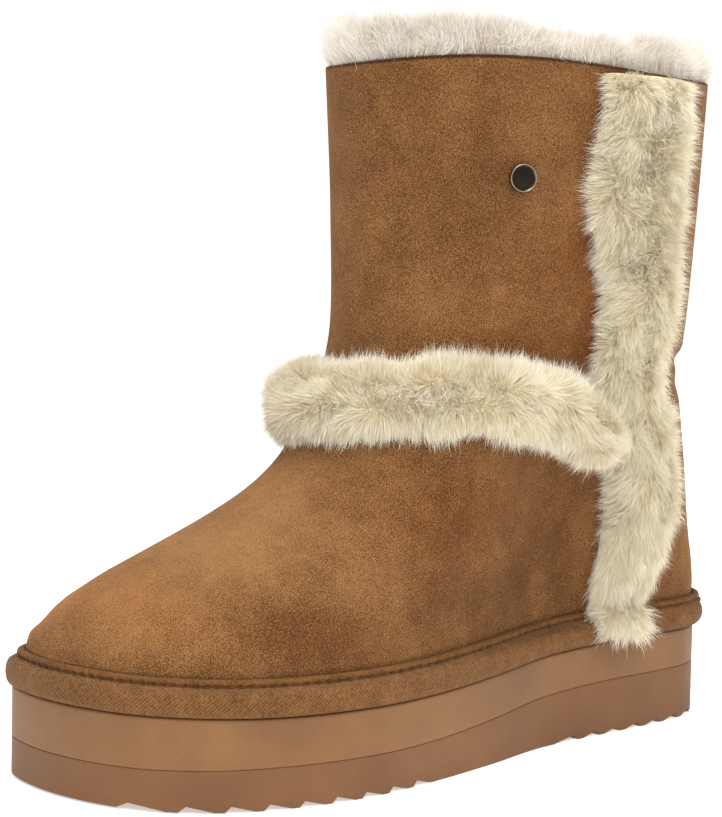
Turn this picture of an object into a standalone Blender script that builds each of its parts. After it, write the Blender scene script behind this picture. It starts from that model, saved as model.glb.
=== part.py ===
"""Left sheepskin boot on a low platform sole, as separate pieces.

Frame while modelling: toe to -Y, outer side of the foot to +X, floor at Z = 0, and the middle of the
sole's length at Y = 0. At the end everything hangs on one empty that puts the middle of the boot's box
over the origin.
"""

import math

import bmesh
import bpy
import numpy as np
from mathutils import Matrix, Vector

# Sole
LENGTH = 0.270
BALL_WIDTH = 0.105
HEEL_WIDTH = 0.0715
SOLE_AT_HEEL = 0.0325
SOLE_AT_BALL = 0.0276
TOE_LIFT = 0.0012
PARTING_AT_HEEL = 0.0190
PARTING_AT_BALL = 0.0128
TOE_SPRING = 0.0006
TOE_SPRING_FROM = -0.0648
TOOTH_PITCH = 0.0111
TOOTH_DEPTH = 0.0018
TOOTH_LAND = 0.0024
TOOTH_STEP = 0.0018
TOE_TEETH = 9
TOE_LAND = 0.0068
HEEL_TEETH = 7
HEEL_TREAD = 0.0965

# Upper
WALL = 0.0025
FEATHER_INSET = 0.0042
HEEL_INSET = 0.0008
ANKLE_HEIGHT = 0.1260
COLLAR_HEIGHT = 0.2275
COLLAR_LENGTH = 0.1582
COLLAR_WIDTH = 0.1022
SHAFT_SET_BACK = 0.0525
ARCH_ROUNDNESS = 2.0

# Binding and insole
BINDING_HEIGHT = 0.0116
BINDING_ROLL = 0.0088
BINDING_PROUD_TOE = 0.0022
BINDING_PROUD_HEEL = 0.0036
PINCH_DEPTH = 0.0008
FLANGE_THICK = 0.0024
INSOLE_THICK = 0.0045
INSOLE_CLEAR = 0.0009
GAP = 0.0003
FLEECE_SEAT = 0.0009

# Fleece
COLLAR_FUR_RISE = 0.0150
COLLAR_FUR_THICK = 0.0125
COLLAR_FUR_INSIDE = 0.0280
COLLAR_WAVE = 0.0013
STRIP_WIDTH = 0.0430
STRIP_PROUD = 0.0105
STRIP_PLACE = 0.0690
STRIP_HANG = 0.0085
BAND_WIDTH = 0.0290
BAND_PROUD = 0.0120
BAND_INNER_END = 0.0450
BAND_MEETS = 0.0010
LOCK_REACH = 0.0028
LOCK_DRIFT = 0.35
LOCKS_HANG = Vector((0.0, 0.0, -0.6))
LOCKS_STAND = Vector((0.0, 0.0, 0.6))
PAD_EDGE = 0.0010

# Stud
STUD_DIAMETER = 0.0094
STUD_RISE = 0.0018
STUD_PLACE = 0.0110
STUD_HEIGHT = 0.1905

# Mesh fineness
OUTLINE_STEPS = 72
AROUND_STEPS = 52
SHAFT_ROWS = 17
VIEW_STEPS = 19
INSOLE_ROWS = 27
STRIP_GRID = (29, 6)
BAND_GRID = (31, 6)
COLLAR_FUR_STEPS = 48
STUD_STEPS = 24

# Outline of the sole. Each row: share of LENGTH from the heel, half width on the outer side and on the
# inner side as shares of the local width, which runs from HEEL_WIDTH to BALL_WIDTH.
OUTLINE = (
    (0.030, 0.290, 0.284),
    (0.080, 0.430, 0.420),
    (0.150, 0.478, 0.482),
    (0.250, 0.496, 0.510),
    (0.380, 0.486, 0.442),
    (0.500, 0.474, 0.398),
    (0.620, 0.482, 0.430),
    (0.720, 0.505, 0.493),
    (0.820, 0.472, 0.518),
    (0.900, 0.394, 0.492),
    (0.955, 0.268, 0.430),
    (0.985, 0.118, 0.342),
)
TOE_TIP_INWARD = 0.115
WIDTH_CHANGE = (0.30, 0.62)

# Rings of the upper's foot, from the binding up to the bend of the ankle. Columns: front place and back
# place as shares of half LENGTH, front height and back height as shares of ANKLE_HEIGHT, width as a
# share of the sole's inset outline, and how far the ring is already shaft (0 foot, 1 shaft). The first
# ring follows the binding's top instead of its two heights.
FOOT_RINGS = (
    ("binding top", -0.9689, 0.9941, 0.3200, 0.3500, 1.000, 0.00),
    ("toe wall", -0.9480, 0.9900, 0.3970, 0.4210, 1.022, 0.00),
    ("toe top", -0.8740, 0.9720, 0.4680, 0.4920, 1.030, 0.00),
    ("toe cap", -0.7700, 0.9580, 0.5240, 0.5710, 1.035, 0.00),
    ("ball", -0.6440, 0.9470, 0.5850, 0.6510, 1.045, 0.00),
    ("vamp", -0.5185, 0.9360, 0.6500, 0.7300, 1.060, 0.04),
    ("instep", -0.4000, 0.9220, 0.7220, 0.8100, 1.080, 0.12),
    ("throat", -0.3040, 0.9100, 0.8040, 0.8810, 1.105, 0.30),
    ("bend", -0.2370, 0.8990, 0.9030, 0.9440, 1.130, 0.56),
    ("ankle crease", -0.1930, 0.8910, 1.0000, 1.0000, 1.150, 0.80),
)

# Rings of the shaft. Columns: how far the front and the back lie from the shaft's middle, as shares of
# half COLLAR_LENGTH, height at the front and at the back as shares of the way from ANKLE_HEIGHT to
# COLLAR_HEIGHT, width as a share of COLLAR_WIDTH, and how far the ring is already shaft.
SHAFT_RINGS = (
    ("over the ankle", 0.958, 0.912, 0.138, 0.108, 0.910, 0.95),
    ("low shaft", 0.962, 0.937, 0.315, 0.296, 0.930, 1.00),
    ("mid shaft", 0.967, 0.962, 0.581, 0.571, 0.965, 1.00),
    ("collar", 1.000, 1.000, 1.000, 1.000, 1.000, 1.00),
)
LAST_FOOT_WIDTH = 1.15
ANKLE_WIDTH = (0.860, 0.895)
ANKLE_WIDTH_FROM = 0.73
WAVE_CREST = 0.15
SHAFT_TURN = 0.0200

# How high the collar's fleece stands round the ring, from the toe (0) over the outer side (0.25) to the
# heel (0.5) and back, as a share of COLLAR_FUR_RISE: the places and the values there.
COLLAR_FUR_LINE = (
    (0.00, 0.20, 0.40, 0.50, 0.56, 0.62, 0.67, 0.80, 1.00),
    (1.00, 1.00, 0.98, 0.84, 0.66, 0.62, 0.96, 1.04, 1.00),
)

# The strip's middle and width from its top (0) to its hanging end (1), as shares of STRIP_WIDTH, and the
# band's middle height and width from its inner end (-1) over the front (0) to the strip (1), as shares of
# COLLAR_HEIGHT and of BAND_WIDTH. Each pair is the places and the values there.
STRIP_LINE = {
    "place": ((0.00, 0.15, 0.40, 0.55, 0.68, 0.80, 0.92, 1.00), (-0.15, -0.11, -0.01, 0.06, 0.14, 0.19, 0.20, 0.12)),
    "wide": ((0.00, 0.15, 0.40, 0.55, 0.68, 0.80, 0.92, 1.00), (1.00, 1.04, 1.05, 1.01, 0.97, 0.94, 0.90, 0.72)),
}
BAND_LINE = {
    "height": ((-1.00, -0.60, -0.30, 0.00, 0.30, 0.60, 0.80, 1.00), (0.470, 0.485, 0.497, 0.503, 0.514, 0.521, 0.508, 0.480)),
    "wide": ((-1.00, -0.60, -0.30, 0.00, 0.30, 0.60, 0.80, 1.00), (1.05, 1.10, 1.12, 1.08, 1.00, 0.98, 1.04, 1.14)),
}


def smooth(low, high, value):
    """0 below low, 1 above high and a soft change between them."""
    share = np.clip((np.asarray(value, float) - low) / (high - low), 0.0, 1.0)
    return share * share * (3.0 - 2.0 * share)


def spline(knots, values, at):
    """A cubic curve through the rows, whose slope at each row follows its neighbours."""
    knots = np.asarray(knots, float)
    values = np.asarray(values, float)
    slopes = np.gradient(values, knots)
    at = np.clip(at, knots[0], knots[-1])
    low = np.clip(np.searchsorted(knots, at, side="right") - 1, 0, len(knots) - 2)
    gap = knots[low + 1] - knots[low]
    t = (at - knots[low]) / gap
    start = values[low] * (1 + 2 * t) * (1 - t) ** 2 + slopes[low] * gap * t * (1 - t) ** 2
    end = values[low + 1] * t * t * (3 - 2 * t) + slopes[low + 1] * gap * t * t * (t - 1)
    return start + end


def from_heel(y):
    """Share of LENGTH from the heel's back to the place y."""
    return 0.5 - np.asarray(y, float) / LENGTH


def local_width(share):
    return HEEL_WIDTH + (BALL_WIDTH - HEEL_WIDTH) * smooth(*WIDTH_CHANGE, share)


def outline_curve(count, offset=0.0):
    """Points round the sole, from the toe tip along the outer side to the heel and back.

    offset moves them outwards along the outline's normal; it is one distance, or a function of y.
    """
    outer = [(wide * local_width(share), (0.5 - share) * LENGTH) for share, wide, _ in OUTLINE]
    inner = [(-wide * local_width(share), (0.5 - share) * LENGTH) for share, _, wide in OUTLINE]
    toe = (-TOE_TIP_INWARD * BALL_WIDTH, -LENGTH / 2)
    heel = (0.0, LENGTH / 2)
    once = np.array([toe] + outer[::-1] + [heel] + inner)
    points = np.vstack([once[-3:], once, once[:4]])
    knots = np.concatenate([[0.0], np.cumsum(np.sqrt(np.linalg.norm(np.diff(points, axis=0), axis=1)))])
    at = np.linspace(knots[3], knots[3 + len(once)], 40 * count + 1)
    dense = np.column_stack([spline(knots, points[:, 0], at), spline(knots, points[:, 1], at)])
    along = np.concatenate([[0.0], np.cumsum(np.linalg.norm(np.diff(dense, axis=0), axis=1))])
    even = np.linspace(0.0, along[-1], count, endpoint=False)
    ring = np.column_stack([np.interp(even, along, dense[:, 0]), np.interp(even, along, dense[:, 1])])
    run = np.roll(ring, -1, axis=0) - np.roll(ring, 1, axis=0)
    run /= np.linalg.norm(run, axis=1)[:, None]
    out = offset(ring[:, 1]) if callable(offset) else np.full(count, offset)
    return ring + out[:, None] * np.column_stack([run[:, 1], -run[:, 0]])


def half_widths(offset):
    """Functions of y for the outline's outer and inner half width, with the outline offset."""
    ring = outline_curve(720, offset)
    toe = int(np.argmin(ring[:, 1]))
    ring = np.roll(ring, -toe, axis=0)
    heel = int(np.argmax(ring[:, 1]))
    outer = ring[: heel + 1]
    inner = np.vstack([ring[:1], ring[heel:][::-1]])

    def outer_at(y):
        return np.interp(y, outer[:, 1], outer[:, 0])

    def inner_at(y):
        return np.interp(y, inner[:, 1], inner[:, 0])

    return outer_at, inner_at


def sole_top(y):
    """Height of the platform's top."""
    share = from_heel(y)
    low = SOLE_AT_HEEL + (SOLE_AT_BALL - SOLE_AT_HEEL) * smooth(0.22, 0.68, share)
    return low + TOE_LIFT * smooth(0.80, 1.0, share)


def parting(y):
    """Height of the line between outsole and midsole."""
    share = from_heel(y)
    return PARTING_AT_HEEL + (PARTING_AT_BALL - PARTING_AT_HEEL) * smooth(0.22, 0.68, share)


def feather_inset(y):
    """How far the upper's foot stands in from the sole's edge, less at the heel than at the toe."""
    return HEEL_INSET + (FEATHER_INSET - HEEL_INSET) * smooth(0.05, 0.36, from_heel(y))


FEATHER_OUTER, FEATHER_INNER = half_widths(lambda y: -feather_inset(y))
TOE_TIP = -LENGTH / 2 + FEATHER_INSET
HEEL_TIP = LENGTH / 2 - HEEL_INSET
COLLAR_RISE = len(FOOT_RINGS) + len(SHAFT_RINGS) - 1.0


def ring_columns():
    """Every ring's sizes in metres, foot and shaft together, one array for each column."""
    over = COLLAR_HEIGHT - ANKLE_HEIGHT
    rows = []
    for _, front, back, front_up, back_up, wide, shaft in FOOT_RINGS:
        place = (front * LENGTH / 2, back * LENGTH / 2)
        height = (front_up * ANKLE_HEIGHT, back_up * ANKLE_HEIGHT)
        half = COLLAR_WIDTH / 2 * float(np.interp(back_up, (ANKLE_WIDTH_FROM, 1.0), ANKLE_WIDTH))
        rows.append((*place, *height, wide, half, shaft))
    for _, front, back, front_up, back_up, wide, shaft in SHAFT_RINGS:
        place = (SHAFT_SET_BACK - front * COLLAR_LENGTH / 2, SHAFT_SET_BACK + back * COLLAR_LENGTH / 2)
        height = (ANKLE_HEIGHT + front_up * over, ANKLE_HEIGHT + back_up * over)
        rows.append((*place, *height, LAST_FOOT_WIDTH, COLLAR_WIDTH / 2 * wide, shaft))
    names = ("front_y", "back_y", "front_z", "back_z", "foot_wide", "shaft_half", "shaft")
    columns = dict(zip(names, np.array(rows).T))
    columns["front_y"][0] = TOE_TIP
    columns["back_y"][0] = HEEL_TIP
    columns["front_z"][0] = sole_top(columns["front_y"][0]) + BINDING_HEIGHT
    columns["back_z"][0] = sole_top(columns["back_y"][0]) + BINDING_HEIGHT
    return columns


COLUMN = ring_columns()
RING_NUMBERS = np.arange(len(COLUMN["shaft"]), dtype=float)


def ridge(y):
    """Height of the upper's front line over the place y, which climbs ever steeper at the shaft."""
    front_y = COLUMN["front_y"][: len(FOOT_RINGS)]
    front_z = COLUMN["front_z"][: len(FOOT_RINGS)]
    slope = (front_z[-1] - front_z[-2]) / (front_y[-1] - front_y[-2])
    past = np.maximum(0.0, y - front_y[-1])
    return spline(front_y, front_z, y) + slope * past + (past / SHAFT_TURN) ** 2 * ANKLE_HEIGHT


def skin(around, rise):
    """Point on the outside of the upper.

    around runs from 0 at the toe over 0.25 on the outer side and 0.5 at the heel to 1. rise runs
    from -1 at the sole over 0 at the binding's top to COLLAR_RISE at the collar.
    """
    around, rise = np.broadcast_arrays(np.asarray(around, float), np.asarray(rise, float))
    ring = np.clip(rise, 0.0, COLLAR_RISE)
    value = {name: spline(RING_NUMBERS, column, ring) for name, column in COLUMN.items()}
    share = (1.0 - np.cos(2 * np.pi * around)) / 2
    y = value["front_y"] + (value["back_y"] - value["front_y"]) * share
    z = value["front_z"] + (value["back_z"] - value["front_z"]) * share

    outline_y = y + (HEEL_TIP - value["back_y"]) * smooth(0.35, 1.0, share)
    low = sole_top(y) + BINDING_HEIGHT
    over = ridge(y) + value["front_z"] - ridge(value["front_y"])
    climb = np.maximum(over - low, 1e-6)
    q = np.clip((z - low) / climb, 0.0, 1.0)
    arch = (1.0 - q**ARCH_ROUNDNESS) ** (1.0 / ARCH_ROUNDNESS)
    outer_foot = FEATHER_OUTER(outline_y) * value["foot_wide"]
    inner_foot = FEATHER_INNER(outline_y) * value["foot_wide"]
    middle = (outer_foot + inner_foot) / 2
    half_foot = (outer_foot - inner_foot) / 2 * arch
    half_shaft = value["shaft_half"] * np.abs(np.sin(2 * np.pi * around))
    half = half_foot + (half_shaft - half_foot) * value["shaft"]
    side = np.where(np.sin(2 * np.pi * around) >= 0, 1.0, -1.0)
    x = middle * (1 - value["shaft"]) + side * half

    foot_z = sole_top(y) + GAP + (BINDING_HEIGHT - GAP) * np.clip(rise + 1.0, 0.0, 1.0)
    z = foot_z + (z - foot_z) * np.clip(rise, 0.0, 1.0)
    waved = smooth(COLLAR_RISE - 0.8, COLLAR_RISE, rise)
    z = z + COLLAR_WAVE * waved * np.cos(6 * np.pi * (around - WAVE_CREST))
    return np.stack([x, y, z], axis=-1)


def off_skin(around, rise, out):
    """Point at the distance out from the upper's outside, along its normal."""
    step_around, step_rise = 4e-3, 2e-2
    along = skin(around + step_around, rise) - skin(around - step_around, rise)
    up = skin(around, rise + step_rise) - skin(around, rise - step_rise)
    normal = np.cross(along, up)
    normal /= np.maximum(np.linalg.norm(normal, axis=-1, keepdims=True), 1e-12)
    return skin(around, rise) + normal * np.asarray(out, float)[..., None]


def material(name, colour, roughness, metallic=0.0):
    made = bpy.data.materials.new(name)
    made.use_nodes = True
    shader = made.node_tree.nodes["Principled BSDF"]
    shader.inputs["Base Color"].default_value = (*colour, 1.0)
    shader.inputs["Roughness"].default_value = roughness
    shader.inputs["Metallic"].default_value = metallic
    made.diffuse_color = (*colour, 1.0)
    return made


def collection(name):
    made = bpy.data.collections.new(name)
    bpy.context.scene.collection.children.link(made)
    return made


def finished(name, mesh_data, home, look=None):
    """An object of the bmesh, welded and with its faces pointing outwards."""
    bmesh.ops.remove_doubles(mesh_data, verts=mesh_data.verts, dist=1e-6)
    bmesh.ops.recalc_face_normals(mesh_data, faces=mesh_data.faces)
    mesh = bpy.data.meshes.new(name)
    mesh_data.to_mesh(mesh)
    mesh_data.free()
    mesh.shade_smooth()
    mesh.set_sharp_from_angle(angle=math.radians(35))
    made = bpy.data.objects.new(name, mesh)
    home.objects.link(made)
    if look:
        mesh.materials.append(look)
    return made


def prism(points, low, high, axis):
    """A bmesh of the flat outline pushed from low to high along X or Z."""
    made = bmesh.new()
    place = (lambda a, b: (low, a, b)) if axis == "X" else (lambda a, b: (a, b, low))
    face = made.faces.new([made.verts.new(place(a, b)) for a, b in points])
    pushed = bmesh.ops.extrude_face_region(made, geom=[face])
    moved = [item for item in pushed["geom"] if isinstance(item, bmesh.types.BMVert)]
    push = (high - low, 0, 0) if axis == "X" else (0, 0, high - low)
    bmesh.ops.translate(made, verts=moved, vec=push)
    return made


def loft(rows, closed_rows):
    """A bmesh of quads between rows of points. closed_rows joins each row's end to its start."""
    made = bmesh.new()
    grid = [[made.verts.new(point) for point in row] for row in rows]
    across = len(rows[0])
    for lower, upper in zip(grid, grid[1:]):
        for place in range(across if closed_rows else across - 1):
            after = (place + 1) % across
            made.faces.new((lower[place], lower[after], upper[after], upper[place]))
    return made, grid


def ring_loft(rings):
    """A closed tube of rings that ends where it starts."""
    made, grid = loft(rings, closed_rows=True)
    across = len(rings[0])
    for place in range(across):
        after = (place + 1) % across
        made.faces.new((grid[-1][place], grid[-1][after], grid[0][after], grid[0][place]))
    return made


def tread_line():
    """Side view of the outsole's bottom, from the toe to the heel.

    The forefoot's teeth ramp down towards the heel and end in a step, the heel's teeth are mirrored and
    the arch between them is smooth.
    """
    half = LENGTH / 2
    past_ends = 0.004

    def floor(y):
        return TOE_SPRING * (max(0.0, TOE_SPRING_FROM - y) / (half + TOE_SPRING_FROM)) ** 2

    points = [(y, floor(y)) for y in (-half - past_ends, -half + TOE_LAND - TOOTH_STEP / 2)]
    notch = -half + TOE_LAND + TOOTH_STEP / 2
    for _ in range(TOE_TEETH):
        tip = notch + TOOTH_PITCH - TOOTH_STEP
        points += [(notch, floor(notch) + TOOTH_DEPTH), (tip - TOOTH_LAND, floor(tip)), (tip, floor(tip))]
        notch += TOOTH_PITCH
    points += [(notch, 0.0), (half - HEEL_TREAD, 0.0)]
    for tooth in range(1, HEEL_TEETH + 1):
        notch = half - HEEL_TREAD + tooth * TOOTH_PITCH
        land = notch + TOOTH_STEP
        points += [(notch, TOOTH_DEPTH), (land, 0.0), (land + TOOTH_LAND, 0.0)]
    points.append((half + past_ends, 0.0))
    return points


def build_soles(home, cutters):
    """Outsole and midsole: the sole's outline, each met with its own side view."""
    reach = LENGTH * np.linspace(-0.515, 0.515, VIEW_STEPS)
    parting_line = [(y, float(parting(y))) for y in reach]
    top_line = [(y, float(sole_top(y))) for y in reach]
    lifted = [(y, z + GAP) for y, z in parting_line]
    views = {
        "outsole": tread_line() + parting_line[::-1],
        "midsole": lifted + top_line[::-1],
    }
    looks = {
        "outsole": material("outsole_eva", (0.285, 0.150, 0.088), 0.62),
        "midsole": material("midsole_eva", (0.325, 0.172, 0.102), 0.60),
    }
    for name, view in views.items():
        body = prism(outline_curve(OUTLINE_STEPS), -SOLE_AT_HEEL / 4, SOLE_AT_HEEL * 1.5, "Z")
        made = finished(name, body, home, looks[name])
        cutter = finished(name + "_side_view", prism(view, -BALL_WIDTH, BALL_WIDTH, "X"), cutters)
        cutter.hide_render = True
        cutter.display_type = "WIRE"
        meet = made.modifiers.new("side view", "BOOLEAN")
        meet.operation = "INTERSECT"
        meet.solver = "EXACT"
        meet.object = cutter


def build_insole(home):
    """The sock lies on the midsole, inside the upper's wall."""
    inside = WALL + INSOLE_CLEAR
    outer_at, inner_at = half_widths(lambda y: -feather_inset(y) - inside)
    toe, heel = TOE_TIP + inside, HEEL_TIP - inside
    edge = 0.25 * INSOLE_THICK
    rows = []
    for turn in np.linspace(0.03, 0.97, INSOLE_ROWS) * math.pi:
        y = (toe + heel) / 2 - (heel - toe) / 2 * math.cos(turn)
        low = float(sole_top(y)) + GAP
        outer, inner = float(outer_at(y)), float(inner_at(y))
        rows.append(
            [
                (inner, y, low),
                (outer, y, low),
                (outer, y, low + INSOLE_THICK - edge),
                (outer - edge, y, low + INSOLE_THICK),
                (inner + edge, y, low + INSOLE_THICK),
                (inner, y, low + INSOLE_THICK - edge),
            ]
        )
    made, grid = loft(rows, closed_rows=True)
    made.faces.new(grid[0][::-1])
    made.faces.new(grid[-1])
    finished("insole", made, home, material("insole_sock", (0.70, 0.62, 0.46), 0.9))


def build_upper(home):
    """One wall of WALL from the sole to the collar, open at both ends."""
    around = np.arange(AROUND_STEPS) / AROUND_STEPS
    rises = np.concatenate([[-1.0, -0.45], np.linspace(0.0, COLLAR_RISE, SHAFT_ROWS)])
    outside = [skin(around, rise) for rise in rises]
    inside = [off_skin(around, rise, np.full(AROUND_STEPS, -WALL)) for rise in rises]
    for outer, inner in ((outside[0], inside[0]), (outside[-1], inside[-1])):
        inner[:, 2] = outer[:, 2]
    made = ring_loft([ring.tolist() for ring in outside + inside[::-1]])
    finished("upper", made, home, material("upper_suede", (0.235, 0.106, 0.042), 0.88))


def build_binding(home):
    """Rolled tape round the welt, with a groove at its stitches and a thin flange over it."""
    around = np.arange(AROUND_STEPS) / AROUND_STEPS
    foot = skin(around, -1.0)
    outwards = off_skin(around, -1.0, np.ones(AROUND_STEPS)) - foot
    rings = []
    for (x, y, low), (nx, ny, _) in zip(foot, outwards):
        to_toe = float(smooth(0.2, 0.8, from_heel(y)))
        proud = BINDING_PROUD_HEEL + (BINDING_PROUD_TOE - BINDING_PROUD_HEEL) * to_toe
        inset = float(feather_inset(y))
        roll = inset + proud
        flange = GAP + FLANGE_THICK
        section = (
            (GAP, 0.0),
            (roll - proud * 0.70, 0.0),
            (roll - proud * 0.22, BINDING_ROLL * 0.14),
            (roll, BINDING_ROLL * 0.42),
            (roll - proud * 0.18, BINDING_ROLL * 0.70),
            (flange + PINCH_DEPTH, BINDING_ROLL * 0.93),
            (flange - PINCH_DEPTH, BINDING_ROLL),
            (flange, BINDING_ROLL + 0.0009),
            (flange - 0.0004, BINDING_HEIGHT - GAP * 3),
            (GAP, BINDING_HEIGHT - GAP * 2),
        )
        rings.append([(x + nx * out, y + ny * out, low + up) for out, up in section])
    made = ring_loft(rings)
    finished("binding", made, home, material("binding_twill", (0.300, 0.150, 0.066), 0.85))


def push_locks(made, faces, lean, seed):
    """Raises a leaning lock from the middle of each face, so the locks stay one with the solid."""
    chance = np.random.default_rng(seed)
    poked = bmesh.ops.poke(made, faces=faces, offset=0.0)
    for vert in poked["verts"]:
        normal = sum((face.normal for face in vert.link_faces), Vector()).normalized()
        length = LOCK_REACH * (0.6 + 0.8 * chance.random())
        drift = Vector(chance.normal(0.0, LOCK_DRIFT, 3))
        vert.co += (normal + (lean + drift) / 2) * length


def crown(share, fullness):
    """Height of a fleece roll across its width: 0 at its edges and 1 over its middle."""
    return (1.0 - np.abs(2.0 * share - 1.0) ** fullness) ** 0.5


def fleece_pad(name, rows_around, rows_rise, seat, proud, seed, home, look):
    """A crowned pad of fleece on the upper.

    rows_around and rows_rise give a grid of places on the skin, seat is the underside's distance from
    the skin there and proud is the pad's height over that.
    """
    under = off_skin(rows_around, rows_rise, seat)
    over = off_skin(rows_around, rows_rise, seat + proud)
    made = bmesh.new()
    down = [[made.verts.new(point) for point in row] for row in under.tolist()]
    up = [[made.verts.new(point) for point in row] for row in over.tolist()]
    rows, columns = rows_around.shape
    tops = []
    for i in range(rows - 1):
        for j in range(columns - 1):
            made.faces.new((down[i][j], down[i + 1][j], down[i + 1][j + 1], down[i][j + 1]))
            tops.append(made.faces.new((up[i][j], up[i][j + 1], up[i + 1][j + 1], up[i + 1][j])))
    edge = [(i, 0) for i in range(rows)] + [(rows - 1, j) for j in range(1, columns)]
    edge += [(i, columns - 1) for i in range(rows - 2, -1, -1)] + [(0, j) for j in range(columns - 2, 0, -1)]
    for (i, j), (k, m) in zip(edge, edge[1:] + edge[:1]):
        made.faces.new((down[i][j], down[k][m], up[k][m], up[i][j]))
    bmesh.ops.recalc_face_normals(made, faces=made.faces)
    push_locks(made, tops, LOCKS_HANG, seed)
    finished(name, made, home, look)


def around_at(y, rise, side):
    """Where on the ring the place y lies, on the outer side (1) or the inner side (-1)."""
    front = skin(np.zeros_like(rise), rise)[..., 1]
    back = skin(np.full_like(rise, 0.5), rise)[..., 1]
    share = np.clip((y - front) / (back - front), 0.0, 1.0)
    turn = np.arccos(1.0 - 2.0 * share) / (2 * np.pi)
    return turn * side


def rise_at(around, height):
    """Ring number at which the skin reaches the height."""
    numbers = np.linspace(-1.0, COLLAR_RISE, 200)
    found = [
        np.interp(high, skin(np.full(200, turn), numbers)[:, 2], numbers)
        for turn, high in zip(np.ravel(around), np.ravel(height))
    ]
    return np.array(found).reshape(np.shape(around))


def place_at(y, height, side):
    """Around and rise of the skin's point at the place y and the height on one side."""
    around = np.full(np.shape(y), 0.3 * side)
    for _ in range(4):
        rise = rise_at(around, height)
        around = around_at(y, rise, side)
    return around, rise


def grid_shares(rows, columns):
    """Shares along and across a pad, one for each point of its grid."""
    return np.meshgrid(np.linspace(0.0, 1.0, rows), np.linspace(0.0, 1.0, columns), indexing="ij")


def build_strip(home, look):
    """Upright strip on the outer side, from the collar down over the binding."""
    down, across = grid_shares(*STRIP_GRID)
    binding_top = float(sole_top(STRIP_PLACE)) + BINDING_HEIGHT
    top, bottom = COLLAR_HEIGHT - 0.0015, binding_top - STRIP_HANG
    height = top + (bottom - top) * down
    wide = STRIP_WIDTH * spline(*STRIP_LINE["wide"], down)
    y = STRIP_PLACE + STRIP_WIDTH * spline(*STRIP_LINE["place"], down) + (across - 0.5) * wide
    around, rise = place_at(y, height, 1)
    over_binding = BINDING_PROUD_HEEL + FEATHER_INSET + 2 * GAP
    seat = FLEECE_SEAT + over_binding * np.clip((0.55 - rise) / 0.98, 0.0, 1.0)
    ends = smooth(-0.001, 0.05, down) * (1.0 - 0.75 * smooth(0.92, 1.001, down))
    proud = PAD_EDGE + (STRIP_PROUD - LOCK_REACH / 2) * crown(across, 2.4) * (0.35 + 0.65 * ends)
    fleece_pad("fur_strip", around, rise, seat, proud, 11, home, look)


def build_band(home, look):
    """Roll of fleece from the strip round the front of the ankle to the inner side."""
    along, across = grid_shares(*BAND_GRID)
    meets = STRIP_PLACE - STRIP_WIDTH / 2 + BAND_MEETS
    outer_end = float(place_at(np.array([meets]), np.array([0.48 * COLLAR_HEIGHT]), 1)[0][0])
    inner_end = float(place_at(np.array([BAND_INNER_END]), np.array([0.48 * COLLAR_HEIGHT]), -1)[0][0])
    turn = outer_end + (inner_end - outer_end) * along
    from_front = turn / outer_end
    height = COLLAR_HEIGHT * spline(*BAND_LINE["height"], from_front)
    wide = BAND_WIDTH * spline(*BAND_LINE["wide"], from_front)
    rise = rise_at(turn, height)
    y = skin(turn, rise)[..., 1]
    height = height + (0.5 - across) * wide
    rise = rise_at(turn, height)
    side = np.where(turn >= 0, 1.0, -1.0)
    upright = around_at(y, rise, 1.0) * side
    around = turn + (upright - turn) * smooth(0.45, 0.80, np.abs(from_front))
    rise = rise_at(around, height)
    ends = smooth(-0.02, 0.04, along) * (1.0 - smooth(0.95, 1.02, along))
    seat = np.full(rise.shape, FLEECE_SEAT)
    proud = PAD_EDGE + (BAND_PROUD - LOCK_REACH / 2) * crown(across, 2.2) * (0.25 + 0.75 * ends)
    fleece_pad("fur_band", around, rise, seat, proud, 12, home, look)


def build_collar_fur(home, look):
    """Fleece of the lining where it stands over the collar and turns down inside."""
    steps = COLLAR_FUR_STEPS
    around = np.arange(steps) / steps
    tall = spline(*COLLAR_FUR_LINE, around)
    wave = 0.0012 * np.sin(2 * np.pi * around * 7) + 0.0008 * np.sin(2 * np.pi * around * 16 + 1.0)
    inside = WALL + FLEECE_SEAT
    section = (
        (-inside, -COLLAR_FUR_INSIDE),
        (-inside, -COLLAR_FUR_INSIDE * 0.65),
        (-inside, -COLLAR_FUR_INSIDE * 0.30),
        (-inside, FLEECE_SEAT),
        (-0.0010, FLEECE_SEAT),
        (-0.0008, COLLAR_FUR_RISE * 0.50),
        (-COLLAR_FUR_THICK * 0.22, COLLAR_FUR_RISE * 0.86),
        (-COLLAR_FUR_THICK * 0.62, COLLAR_FUR_RISE * 0.92),
        (-inside - COLLAR_FUR_THICK * 0.86, COLLAR_FUR_RISE * 0.40),
        (-inside - COLLAR_FUR_THICK, -COLLAR_FUR_INSIDE * 0.25),
        (-inside - COLLAR_FUR_THICK * 0.90, -COLLAR_FUR_INSIDE * 0.70),
        (-inside - COLLAR_FUR_THICK * 0.45, -COLLAR_FUR_INSIDE),
    )
    lowest_lock, highest_lock = 5, 9
    rim = skin(around, COLLAR_RISE)[:, 2]
    rings = []
    for place, (out, up) in enumerate(section):
        stand = np.where(up > FLEECE_SEAT, up * tall, up)
        rise = rise_at(around, rim + min(up, 0.0))
        base = skin(around, rise)
        outwards = off_skin(around, rise, np.ones(steps)) - base
        outwards[:, 2] = 0.0
        outwards /= np.linalg.norm(outwards, axis=1)[:, None]
        ring = base + outwards * out
        ring[:, 2] = rim + stand
        if lowest_lock < place < highest_lock:
            ring[:, 2] += wave
        rings.append(ring.tolist())
    made = ring_loft(rings)
    bmesh.ops.recalc_face_normals(made, faces=made.faces)
    made.verts.index_update()
    tops = []
    for face in made.faces:
        found = [vert.index // steps for vert in face.verts]
        if min(found) >= lowest_lock and max(found) <= highest_lock:
            tops.append(face)
    push_locks(made, tops, LOCKS_STAND, 13)
    finished("fur_collar", made, home, look)


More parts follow.
